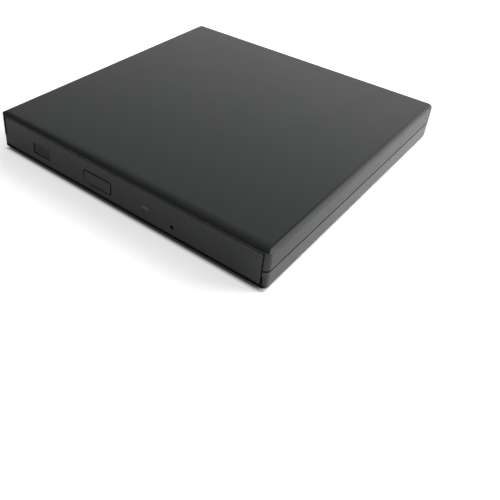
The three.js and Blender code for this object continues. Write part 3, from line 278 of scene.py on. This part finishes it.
def circuit_board():
    """Solder mask over copper tracks, the tracks a little lighter and raised."""
    finish = Finish("circuit_board", colour(20, 68, 42), roughness=0.35)
    tracks = add_node(finish.tree, "ShaderNodeTexBrick", {
        "Scale": 1,
        "Mortar Size": 0.11 * MM,
        "Mortar Smooth": 0.3,
        "Brick Width": 6.5 * MM,
        "Row Height": 0.7 * MM,
        "Color1": colour(18, 62, 38),
        "Color2": colour(23, 74, 46),
        "Mortar": colour(40, 112, 70),
    }, {"Vector": finish.place})
    finish.paint(tracks.outputs["Color"])
    finish.rough(finish.noise(scale=400, detail=3), low=0.3, high=0.42)
    finish.bump(tracks.outputs["Fac"], depth=0.02, strength=0.15)
    return finish


def rubber():
    """Dull rubber, rougher in patches."""
    finish = Finish("rubber", colour(26, 26, 27), roughness=0.75, specular=0.35)
    finish.mottle(scale=120, amount=0.12)
    finish.rough(finish.noise(scale=300, detail=3), low=0.66, high=0.84)
    finish.grain(scale=2200, depth=0.03, strength=0.4, detail=3)
    return finish


def label_film():
    """The smooth film of the blank rear label."""
    finish = Finish("label_film", colour(164, 178, 188), roughness=0.35)
    finish.mottle(scale=90, amount=0.03)
    finish.grain(scale=700, depth=0.01, strength=0.1)
    return finish


def clear_plastic():
    """The light pipe's plastic, milky enough to hide what is behind it."""
    finish = Finish("clear_plastic", colour(96, 101, 96), roughness=0.3)
    finish.inputs["Transmission Weight"].default_value = 0.1
    finish.mottle(scale=200, amount=0.05)
    finish.grain(scale=400, depth=0.01, strength=0.08)
    return finish


def enamelled_copper():
    """Copper wire with fine ridges across x."""
    finish = Finish("enamelled_copper", colour(168, 92, 52), roughness=0.3, metallic=1.0)
    finish.mottle(scale=200, amount=0.12)
    ridges = finish.noise(scale=1, detail=2, vector=finish.stretched((2600, 8, 8)))
    finish.bump(ridges, depth=0.08, strength=0.6)
    return finish


def cable_film():
    """The flat cable's film, lighter in lanes along its conductors."""
    finish = Finish("cable_film", colour(168, 165, 154), roughness=0.4)
    lanes = add_node(finish.tree, "ShaderNodeTexWave", {"Scale": 160}, {"Vector": finish.place})
    lanes.bands_direction = "X"
    lane = lanes.outputs["Fac"]
    finish.paint(finish.ramp(lane, colour(150, 148, 140), colour(182, 179, 168), band=(0.35, 0.6)))
    finish.bump(lane, depth=0.02, strength=0.2)
    return finish


def gold_contact():
    """Plated contacts."""
    finish = Finish("gold_contact", colour(214, 172, 92), roughness=0.25, metallic=1.0)
    finish.mottle(scale=600, amount=0.06)
    finish.grain(scale=1500, depth=0.005, strength=0.1)
    return finish


def solder():
    """Tinned pins and ends, a little uneven."""
    finish = Finish("solder", colour(186, 188, 190), roughness=0.3, metallic=1.0)
    finish.mottle(scale=800, amount=0.1)
    finish.grain(scale=900, depth=0.02, strength=0.25)
    return finish


def spring_steel():
    """Bright drawn steel."""
    finish = Finish("spring_steel", colour(158, 160, 162), roughness=0.28, metallic=1.0)
    finish.mottle(scale=500, amount=0.08)
    finish.grain(scale=1400, depth=0.008, strength=0.1)
    return finish


# The finish of each material slot, and of what only this script makes.
FINISHES = {
    "casing": casing_half("casing", colour(33, 35, 35), roughness=0.4),
    "bottom_casing": casing_half("bottom_casing", colour(46, 48, 48), roughness=0.36),
    "bezel": bezel_plastic(),
    "tray_plastic": moulded("tray_plastic", colour(40, 41, 43), roughness=0.5, grain=1800),
    "rubber": rubber(),
    "sheet_steel": rolled_steel("sheet_steel", colour(150, 153, 156), roughness=0.42),
    "dark_steel": rolled_steel("dark_steel", colour(92, 95, 99), roughness=0.38),
    "paper": label_film(),
    "circuit_board": circuit_board(),
    "black_resin": moulded("black_resin", colour(30, 30, 32), roughness=0.45, grain=2600, depth=0.01),
    "white_resin": moulded("white_resin", colour(196, 195, 186), roughness=0.4, grain=2600, depth=0.008,
                           mottle=0.02),
    "clear_plastic": clear_plastic(),
    "copper": enamelled_copper(),
    "cable_film": cable_film(),
    "gold": gold_contact(),
    "solder": solder(),
    "spring_steel": spring_steel(),
}


# Meshes: lengths are in millimetres

SHARP_DEGREES = 32
FLAT_DEGREES = 0.6
WELD_METRES = 1e-7
EDGE_SEGMENTS = 2
EVEN_WEIGHT = 60
EDGE_WIDTH = 0.1
EDGE_WIDTHS = {
    "top_cover": 0.14,
    "bottom_cover": 0.14,
    "tray_bezel": 0.08,
    "eject_button": 0.3,
    "rear_label": 0.03,
    "chassis_pan": 0.08,
    "chassis_lid": 0.08,
    "tray_base_plate": 0.06,
    "traverse_cover": 0.06,
    "light_pipe": 0.06,
    "traverse_base": 0.08,
}
# Nodes that keep their triangles: one flat face with holes in it shades badly beside rounded edges.
TRIANGLED = ("tray_bezel",)


def shade(mesh, degrees):
    """Smooth shading, but for edges sharper than an angle."""
    mesh.shade_smooth()
    mesh.set_sharp_from_angle(angle=math.radians(degrees))


def soften(piece, width):
    """Rounds the piece's sharp edges a little and shades the rest smoothly."""
    shade(piece.data, SHARP_DEGREES)
    bevel = piece.modifiers.new("edges", "BEVEL")
    bevel.width = width * MM
    bevel.segments = EDGE_SEGMENTS
    bevel.limit_method = "ANGLE"
    bevel.angle_limit = math.radians(SHARP_DEGREES)
    bevel.harden_normals = True
    even = piece.modifiers.new("even_shading", "WEIGHTED_NORMAL")
    even.weight = EVEN_WEIGHT
    even.keep_sharp = True


def new_piece(name, mesh, finish, node, rides=True):
    """A piece with a finish, on a CAD node's body unless it is not to ride."""
    body, slot = BODY_OF[node], SLOT_OF[node]
    piece = bpy.data.objects.new(name, mesh)
    bpy.context.collection.objects.link(piece)
    mesh.materials.clear()
    mesh.materials.append(FINISHES[finish].material)
    if rides:
        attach(piece, body)
    return piece


def dress(node):
    """A cleaned copy of a CAD node with its edges rounded, standing for the node."""
    mesh = frame["nodes"][node].data.copy()
    mesh.name = node + "_finish"
    work = bmesh.new()
    work.from_mesh(mesh)
    bmesh.ops.remove_doubles(work, verts=work.verts, dist=WELD_METRES)
    if node not in TRIANGLED:
        bmesh.ops.dissolve_limit(work, angle_limit=math.radians(FLAT_DEGREES), verts=work.verts,
                                 edges=work.edges, delimit={"NORMAL"})
    bmesh.ops.recalc_face_normals(work, faces=work.faces)
    work.to_mesh(mesh)
    work.free()
    finish = "bottom_casing" if node == "bottom_cover" else SLOT_OF[node]
    piece = new_piece(node + "_finish", mesh, finish, node)
    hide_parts(node)
    soften(piece, EDGE_WIDTHS.get(node, EDGE_WIDTH))


def made_piece(name, work, finish, node, rides=True, degrees=40):
    """A piece from the mesh being worked on, shaded smoothly up to an angle."""
    bmesh.ops.recalc_face_normals(work, faces=work.faces)
    mesh = bpy.data.meshes.new(name)
    work.to_mesh(mesh)
    work.free()
    shade(mesh, degrees)
    return new_piece(name, mesh, finish, node, rides)


def corners_of(node):
    """A node's lowest and highest corners in millimetres."""
    low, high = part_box(node)
    return Vector(low) / MM, Vector(high) / MM


def middle_of(node):
    """The middle of a node's box in millimetres."""
    low, high = corners_of(node)
    return (low + high) / 2


def between(first, last, count):
    """Evenly spaced values, with both ends."""
    return [first + (last - first) * n / count for n in range(count + 1)]


def wall(work, near, far):
    """A band of faces between two closed rings."""
    size = len(near)
    for k in range(size):
        work.faces.new((near[k], near[(k + 1) % size], far[(k + 1) % size], far[k]))


def skin(work, rings):
    """Faces between closed rings, with both ends closed."""
    for near, far in zip(rings, rings[1:]):
        wall(work, near, far)
    work.faces.new(rings[0])
    work.faces.new(rings[-1])


def wire(work, path, radius, sides):
    """A round wire along the points of a path."""
    across = (path[1] - path[0]).orthogonal().normalized()
    turns = [math.tau * k / sides for k in range(sides)]
    rings = []
    for n, point in enumerate(path):
        ahead = (path[min(n + 1, len(path) - 1)] - path[max(n - 1, 0)]).normalized()
        across = (across - ahead * across.dot(ahead)).normalized()
        other = ahead.cross(across)
        spokes = [across * math.cos(turn) + other * math.sin(turn) for turn in turns]
        rings.append([work.verts.new((point + spoke * radius) * MM) for spoke in spokes])
    skin(work, rings)


def prism(work, outline, ahead):
    """A flat outline of points carried along one vector."""
    ahead = Vector(ahead)
    near = [work.verts.new(Vector(point) * MM) for point in outline]
    far = [work.verts.new((Vector(point) + ahead) * MM) for point in outline]
    skin(work, [near, far])


def slab(work, low, high):
    """A box between two corners."""
    (x0, y0, z0), (x1, y1, z1) = low, high
    prism(work, [(x0, y0, z0), (x1, y0, z0), (x1, y1, z0), (x0, y1, z0)], (0, 0, z1 - z0))


# The eject spring

def add_spring():
    """A coiled wire with one closed turn at each end; in the drive it stretches as the pusher comes out."""
    low, high = corners_of("eject_spring")
    middle = middle_of("eject_spring")
    wire_radius = 0.15
    wire_width = 2 * wire_radius
    coil_radius = (high.x - low.x) / 2 - wire_radius
    turns = 20
    steps = 18
    # The two closed turns and the wire itself take up three of its widths.
    open_length = high.y - low.y - 3 * wire_width
    path = []
    for n in range(turns * steps + 1):
        turn = n / steps
        closed = min(turn, 1) + max(turn - turns + 1, 0)
        opened = min(max(turn - 1, 0), turns - 2) / (turns - 2)
        angle = math.tau * turn
        path.append(Vector((
            middle.x + coil_radius * math.cos(angle),
            high.y - wire_radius - wire_width * closed - open_length * opened,
            middle.z + coil_radius * math.sin(angle))))
    work = bmesh.new()
    wire(work, path, wire_radius, sides=6)
    spring = made_piece("eject_spring_coil", work, "spring_steel", "eject_spring", rides=False)
    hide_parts("eject_spring")
    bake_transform(spring)


# The tray's flat cable

# Half of the cable's thickness over a conductor.
CABLE_HALF = 0.1


def ribbon(name, line):
    """A flat cable along (y, z) points: a film that is thicker over each of its conductors."""
    low, high = corners_of("ribbon_cable")
    conductors = 12
    steps = 4
    thin = 0.6
    columns = conductors * steps
    work = bmesh.new()
    rings = []
    for n, (y, z) in enumerate(line):
        (y0, z0), (y1, z1) = line[max(n - 1, 0)], line[min(n + 1, len(line) - 1)]
        side = Vector((0, z0 - z1, y1 - y0)).normalized()
        upper, lower = [], []
        for k, x in enumerate(between(low.x, high.x, columns)):
            rise = side * CABLE_HALF * (1 if k % steps else thin)
            upper.append(work.verts.new((Vector((x, y, z)) + rise) * MM))
            lower.append(work.verts.new((Vector((x, y, z)) - rise) * MM))
        rings.append(upper + lower[::-1])
    skin(work, rings)
    return made_piece(name, work, "cable_film", "ribbon_cable", rides=False)


def add_ribbon():
    """Three runs; in the drive the fold makes half of the tray's travel, and the upper end the whole."""
    low, high = corners_of("ribbon_cable")
    board_rear = corners_of("tray_board")[1].y
    fold = 0.3
    join_y = 9
    # The upper run ends inside the board's rear edge, and its last stretch lies along the board.
    overlap, held = 2, 4.5
    low_z, end_z = low.z + CABLE_HALF, high.z - CABLE_HALF
    high_z = low_z + 2 * fold
    fold_y = low.y + CABLE_HALF + fold
    end_y = board_rear - overlap
    level_y = end_y - held
    rise_y = level_y - (end_z - high_z)
    bottom = [(y, low_z) for y in between(high.y, fold_y, count=20)]
    bottom += [(fold_y - fold * math.sin(turn), low_z + fold - fold * math.cos(turn))
               for turn in between(0, math.pi, count=10)[1:]]
    middle = [(y, high_z) for y in between(fold_y, join_y, count=10)]
    top = [(y, high_z) for y in between(join_y, rise_y, count=8)]
    top += list(zip(between(rise_y, level_y, count=6), between(high_z, end_z, count=6)))[1:]
    top += [(y, end_z) for y in between(level_y, end_y, count=3)[1:]]
    # Each run's points, and the places along y where it follows the case and the tray.
    runs = (
        ("ribbon_lower", bottom, 50, -98),
        ("ribbon_middle", middle, -119, 71),
        ("ribbon_upper", top, -59, 42),
    )
    for name, line, start, end in runs:
        run = ribbon(name, line)
        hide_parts("ribbon_cable")
        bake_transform(run)


# The sled's lead screw

def add_screw_thread():
    """A two-start thread that moves the sled three millimetres a turn, and plain ends."""
    low, high = corners_of("lead_screw")
    middle = middle_of("lead_screw")
    upward = Vector((0, 0, 1))
    ahead = Vector((-1, -1, 0)).normalized()
    other = ahead.cross(upward)
    crest = (high.z - low.z) / 2
    half = ((high.x - low.x) - crest * math.sqrt(2)) / math.sqrt(2)
    lead, starts, depth = 3, 2, 0.32
    # Shares of the pitch, from the middle of a thread, where its crest ends and its root begins.
    crest_share, root_share = 0.1875, 0.3125
    plain_end = 1.6
    station = 0.19
    sides = 20
    work = bmesh.new()
    rings = []
    for along in between(-half, half, count=round(2 * half / station)):
        ring = []
        for k in range(sides):
            turn = k / sides
            phase = (starts * (turn + along / lead)) % 1
            height = min(max((root_share - abs(phase - 0.5)) / (root_share - crest_share), 0), 1)
            if half - abs(along) < plain_end:
                height = 0
            angle = math.tau * turn
            spoke = upward * math.cos(angle) + other * math.sin(angle)
            radius = crest - depth * (1 - height)
            ring.append(work.verts.new((middle + ahead * along + spoke * radius) * MM))
        rings.append(ring)
    skin(work, rings)
    screw = made_piece("lead_screw_thread", work, "spring_steel", "lead_screw", degrees=60)
    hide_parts("lead_screw")


# The solenoid's coil

def rounded_ring(middle, width, height, corner):
    """Points of a rounded rectangle across x, round a (y, z) middle."""
    y, z = middle
    quarter = 90
    points = []
    for n, (side, rise) in enumerate(((1, 1), (-1, 1), (-1, -1), (1, -1))):
        for degrees in between(n * quarter, (n + 1) * quarter, count=5):
            angle = math.radians(degrees)
            points.append(Vector((
                0,
                y + side * (width / 2 - corner) + corner * math.cos(angle),
                z + rise * (height / 2 - corner) + corner * math.sin(angle))))
    return points


def add_winding():
    """Enamelled wire in close turns on a bobbin with an end plate on each side."""
    low, high = corners_of("solenoid_coil")
    middle = middle_of("solenoid_coil").yz
    width, height = high.y - low.y, high.z - low.z
    plate = 0.6
    wire_radius = 0.16
    bore = 1.6
    corner = 1.2
    wire_width = 2 * wire_radius

    ring = rounded_ring(middle, width - wire_width, height - wire_width, corner)
    room = high.x - low.x - 2 * plate
    turns = int(room / wire_width) - 1
    pitch = (room - wire_width) / turns
    first = low.x + plate + wire_radius
    path = [point + Vector((first + pitch * (turn + k / len(ring)), 0, 0))
            for turn in range(turns) for k, point in enumerate(ring)]
    work = bmesh.new()
    wire(work, path, wire_radius, sides=5)
    coil = made_piece("solenoid_winding", work, "copper", "solenoid_coil")
    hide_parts("solenoid_coil")

    work = bmesh.new()
    spans = (
        (low.x, low.x + plate, 0),
        (low.x + plate, high.x - plate, wire_width),
        (high.x - plate, high.x, 0),
    )
    for near, far, inset in spans:
        outer = rounded_ring(middle, width - 2 * inset, height - 2 * inset, corner - inset)
        inner = [Vector((0, *(middle + (point.yz - middle).normalized() * bore))) for point in outer]
        rows = [[work.verts.new((point + Vector((x, 0, 0))) * MM) for point in line]
                for line, x in ((outer, near), (outer, far), (inner, far), (inner, near))]
        for row, after in zip(rows, rows[1:] + rows[:1]):
            wall(work, row, after)
    soften(made_piece("solenoid_bobbin", work, "black_resin", "solenoid_coil"), width=0.08)


# Small screws

def cross_head(work, centre, radius, height, up=1):
    """A low round screw head with a cross recess, seated at its centre point and facing up or down."""
    sides = 24
    arm, reach = radius * 0.16, radius * 0.62
    crown, flank = radius * 0.86, height * 0.6
    floor_rise, taper = height * 0.25, 0.8
    x, y, z = centre

    def ring(points, rise):
        return [work.verts.new(Vector((x + px, y + py, z + up * rise)) * MM) for px, py in points]

    def circle(size):
        angles = [math.tau * k / sides for k in range(sides)]
        return [(size * math.cos(angle), size * math.sin(angle)) for angle in angles]

    cross = [(reach, -arm), (reach, arm), (arm, arm), (arm, reach), (-arm, reach), (-arm, arm),
             (-reach, arm), (-reach, -arm), (-arm, -arm), (-arm, -reach), (arm, -reach), (arm, -arm)]
    base = ring(circle(radius), 0)
    shoulder = ring(circle(radius), flank)
    top = ring(circle(crown), height)
    wall(work, base, shoulder)
    wall(work, shoulder, top)
    work.faces.new(base)
    mouth = ring(cross, height)
    floor = ring([(px * taper, py * taper) for px, py in cross], floor_rise)
    wall(work, mouth, floor)
    work.faces.new(floor)
    edges = []
    for loop in (top, mouth):
        for pair in zip(loop, loop[1:] + loop[:1]):
            edges.append(work.edges.get(pair) or work.edges.new(pair))
    bmesh.ops.triangle_fill(work, use_beauty=True, edges=edges)


def add_traverse_screws():
    """Screws at the corners of the traverse's cover, measured from the turntable along the traverse."""
    top = corners_of("traverse_cover")[1].z
    middle = middle_of("turntable")
    along, across = Vector((-1, -1, 0)).normalized(), Vector((1, -1, 0)).normalized()
    near, near_side = 2, 14
    far, far_side = 36, 13.6
    work = bmesh.new()
    for ahead, side in ((near, near_side), (near, -near_side), (far, far_side), (far, -far_side)):
        point = Vector((middle.x, middle.y, 0)) + along * ahead + across * side
        cross_head(work, (point.x, point.y, top), radius=1.15, height=0.3)
    made_piece("traverse_cover_screws", work, "dark_steel", "traverse_cover")


def add_base_screws():
    """Screws at the corners of the tray's base plate, with their heads down."""
    low, high = corners_of("tray_base_plate")
    side, front, rear = 4, 5, 4
    work = bmesh.new()
    for y in (low.y + front, high.y - rear):
        for x in (low.x + side, high.x - side):
            cross_head(work, (x, y, low.z), radius=1.3, height=0.3, up=-1)
    made_piece("base_plate_screws", work, "dark_steel", "tray_base_plate")


# Socket contacts, pins and small parts on the boards

def add_contacts():
    """Gold contacts on both faces of the data socket's tongue."""
    high = corners_of("usb_insulator")[1]
    middle = middle_of("usb_insulator")
    tongue = 3.2
    width, thick, lip = 1.1, 0.12, 0.03
    aside = 1.25
    inner, slope, outer = high.y - 8.3, high.y - 1.0, high.y - 0.4
    work = bmesh.new()
    for side in (-1, 1):
        face = middle.z + side * tongue / 2
        outline = [(inner, face), (outer, face), (outer, face + side * lip),
                   (slope, face + side * thick), (inner, face + side * thick)]
        for across in (-aside, aside):
            left = middle.x + across - width / 2
            prism(work, [(left, y, z) for y, z in outline], (width, 0, 0))
    soften(made_piece("usb_contacts", work, "gold", "usb_shell"), width=0.02)


def gull_pins(work, low, high, pitch, reach, sides="xy"):
    """Bent pins along the sides of a chip: out of its flank, down, and flat on the board."""
    width, thick = 0.3, 0.15
    margin = 0.6
    # Shares of the reach where the pin's upper and lower faces bend down and level out.
    upper_bend, upper_foot = 0.4, 0.55
    lower_bend, lower_foot = 0.3, 0.42
    middle_z, foot_z = (low.z + high.z) / 2, low.z
    profile = [(0, middle_z + thick), (upper_bend, middle_z + thick), (upper_foot, foot_z + thick),
               (1, foot_z + thick), (1, foot_z), (lower_foot, foot_z), (lower_bend, middle_z), (0, middle_z)]
    for axis in sides:
        first, last = (low.y, high.y) if axis == "x" else (low.x, high.x)
        count = int((last - first - 2 * margin) / pitch)
        begin = (first + last - count * pitch) / 2
        for side, corner in ((-1, low), (1, high)):
            edge = corner.x if axis == "x" else corner.y
            line = [(edge + side * reach * share, z) for share, z in profile]
            for n in range(count + 1):
                at = begin + n * pitch - width / 2
                if axis == "x":
                    prism(work, [(out, at, z) for out, z in line], (0, width, 0))
                else:
                    prism(work, [(at, out, z) for out, z in line], (width, 0, 0))


def add_pins():
    """The pins of the bridge chip and of the connector between the two boards."""
    work = bmesh.new()
    low, high = corners_of("bridge_chip")
    gull_pins(work, low, high, pitch=0.65, reach=0.7)
    low, high = corners_of("drive_connector")
    flank = 0.9
    gull_pins(work, low, Vector((high.x, high.y, low.z + flank)), pitch=0.8, reach=0.6, sides="y")
    made_piece("drive_board_pins", work, "solder", "bridge_chip")


def add_chip_parts(board, spots, up=1):
    """Small two-ended parts on a board's upper or lower face: dark middles and tinned ends."""
    length, width, height, cap = 1.6, 0.85, 0.5, 0.35
    turned_every = 3
    low, high = corners_of(board)
    face = high.z if up > 0 else low.z
    bottom, top = sorted((face, face + up * height))
    middles, ends = bmesh.new(), bmesh.new()
    for n, (left, back) in enumerate(spots):
        centre = Vector((high.x - left, low.y + back))
        along, across = Vector((length / 2, 0)), Vector((0, width / 2))
        if n % turned_every == 0:
            along, across = Vector((0, length / 2)), Vector((width / 2, 0))
        inner = along * (1 - 2 * cap / length)
        stretches = ((middles, -inner, inner), (ends, -along, -inner), (ends, inner, along))
        for work, start, end in stretches:
            slab(work, (*(centre + start - across), bottom), (*(centre + end + across), top))
    soften(made_piece(board + "_parts", middles, "black_resin", board), width=0.05)
    soften(made_piece(board + "_parts_ends", ends, "solder", board), width=0.05)


def column(left, *backs):
    """Spots that lie behind each other."""
    return [(left, back) for back in backs]


def row(back, *lefts):
    """Spots that lie beside each other."""
    return [(left, back) for left in lefts]


def add_board_parts():
    """Small parts at chosen spots: millimetres left of a board's right edge and behind its front."""
    add_chip_parts("drive_board", (
        column(18.5, 3, 6, 9) + column(15.5, 3.5, 7.5) + column(12, 2.5, 5.5, 9)
        + column(8, 4, 8) + column(34, 2.5, 6.5, 10) + column(53, 3.5, 7.5)))
    add_chip_parts("bridge_board", column(1.1, 2, 6, 10) + row(2, 23, 19.5))
    add_chip_parts("tray_board", (
        column(11, 46, 50) + column(7, 46, 50) + column(3, 44, 48, 52) + column(24, 42, 46, 50)
        + row(66, 27, 23, 19) + row(72, 27, 23, 19) + row(70, 11, 7)), up=-1)


# Floor, studio and lamps: lengths are in metres

FLOOR_SIZE = 6
FLOOR_COLOUR = (0.82, 0.82, 0.82, 1)
FLOOR_SHOWN = 0.6
FLOOR_THROUGH_GLASS = 0.6
# Painted shadow: the floor's glow to the camera rises from none to full over this band of distance past the
# drive's footprint.
PAINTED_SHADOW_EDGE = (-1.5 * MM, 0.5 * MM)
# Painted light: in reflections the floor grows lighter this way, over these distances, between these
# strengths, as a floor lit from the back and right would.
BACKWARD_X, BACKWARD_Y = 0.6, 0.8
BACKWARD_BAND = (0.0, 0.35)
FLOOR_REFLECTED = (0.18, 1.3)
# The studio grows lighter towards this direction, over this band of its dot product.
STUDIO_TOWARDS = (0, 0.98, -1.45)
STUDIO_BAND = (-0.25, 0.66)
STUDIO_STRENGTH = (0.12, 1.9)
WHITE = (1, 1, 1, 1)


def add_floor():
    """A pale floor: white to the camera past the footprint, its glow off under the drive as painted shadow,
    and lighter at the back in reflections as painted light.
    """
    bpy.ops.mesh.primitive_plane_add(size=FLOOR_SIZE)
    floor = bpy.context.object
    floor.name = "floor"
    finish = Finish("floor", FLOOR_COLOUR, roughness=0.9)
    finish.mottle(scale=2, amount=0.01)

    half_width, half_depth = cad_box[1][0], cad_box[1][1]
    beside = finish.math("SUBTRACT", finish.distance("X", 0), half_width)
    ahead = finish.math("SUBTRACT", finish.distance("Y", 0), half_depth)
    # Painted shadow: under the drive the floor's glow is off, so the floor there stays dark as a contact
    # shadow.
    shown = finish.spread(finish.math("MAXIMUM", beside, ahead), 0.0, FLOOR_SHOWN, PAINTED_SHADOW_EDGE)
    # Painted light seen only in reflections: the floor's glow grows towards the back and right.
    backward = finish.math("ADD", finish.math("MULTIPLY", finish.along("X"), BACKWARD_X),
                           finish.math("MULTIPLY", finish.along("Y"), BACKWARD_Y))
    reflected = finish.spread(backward, *FLOOR_REFLECTED, BACKWARD_BAND)

    rays = add_node(finish.tree, "ShaderNodeLightPath").outputs
    glow = 0.0
    for ray, strength in (
            ("Is Camera Ray", shown),
            ("Is Glossy Ray", reflected),
            ("Is Transmission Ray", FLOOR_THROUGH_GLASS)):
        glow = finish.math("MAXIMUM", glow, finish.math("MULTIPLY", rays[ray], strength))
    finish.inputs["Emission Color"].default_value = WHITE
    finish.feed(glow, "Emission Strength")
    floor.data.materials.append(finish.material)


def add_world():
    """White behind the drive; round it a studio that grows lighter towards the back and the ground."""
    world = bpy.data.worlds.new("world")
    bpy.context.scene.world = world
    world.use_nodes = True
    tree = world.node_tree
    direction = add_node(tree, "ShaderNodeTexCoord").outputs["Generated"]
    toward = add_node(tree, "ShaderNodeVectorMath", {1: STUDIO_TOWARDS}, {0: direction})
    toward.operation = "DOT_PRODUCT"
    studio = add_node(tree, "ShaderNodeMapRange", {
        "From Min": STUDIO_BAND[0],
        "From Max": STUDIO_BAND[1],
        "To Min": STUDIO_STRENGTH[0],
        "To Max": STUDIO_STRENGTH[1],
    }, {"Value": toward.outputs["Value"]})
    camera_ray = add_node(tree, "ShaderNodeLightPath").outputs["Is Camera Ray"]
    shown = add_node(tree, "ShaderNodeMath", sources={0: camera_ray, 1: studio.outputs["Result"]})
    shown.operation = "MAXIMUM"
    background = tree.nodes["Background"].inputs
    background["Color"].default_value = WHITE
    tree.links.new(shown.outputs[0], background["Strength"])


LAMP_AIM = Vector((0, 0, 0.01))


def add_lamp(name, place, size, power, shine):
    """A soft rectangular lamp; without shine it stays out of reflections."""
    data = bpy.data.lights.new(name, "AREA")
    data.shape = "RECTANGLE"
    data.size, data.size_y = size
    data.energy = power
    lamp = bpy.data.objects.new(name, data)
    lamp.location = place
    lamp.rotation_mode = "QUATERNION"
    lamp.rotation_quaternion = (LAMP_AIM - Vector(place)).to_track_quat("-Z", "Y")
    lamp.visible_camera = False
    lamp.visible_glossy = shine
    bpy.context.collection.objects.link(lamp)


# The whole scene

# Nodes whose pieces are made by a function of their own.
MADE_HERE = ("eject_spring", "ribbon_cable", "lead_screw", "solenoid_coil")

add_camera()
for node_name in frame["nodes"]:
    if node_name not in MADE_HERE:
        dress(node_name)
add_spring()
add_ribbon()
add_screw_thread()
add_winding()
add_traverse_screws()
add_base_screws()
add_contacts()
add_pins()
add_board_parts()
add_floor()
add_world()
add_lamp("key", place=(0.2, -0.1, 1.1), size=(0.9, 0.9), power=2.0, shine=False)
add_lamp("right_back", place=(0.72, 0.72, 0.64), size=(1.1, 0.8), power=18.0, shine=False)
add_lamp("right_back_shine", place=(0.66, 0.5, 0.6), size=(0.5, 0.5), power=2.0, shine=True)
bpy.context.scene.view_settings.view_transform = "Standard"
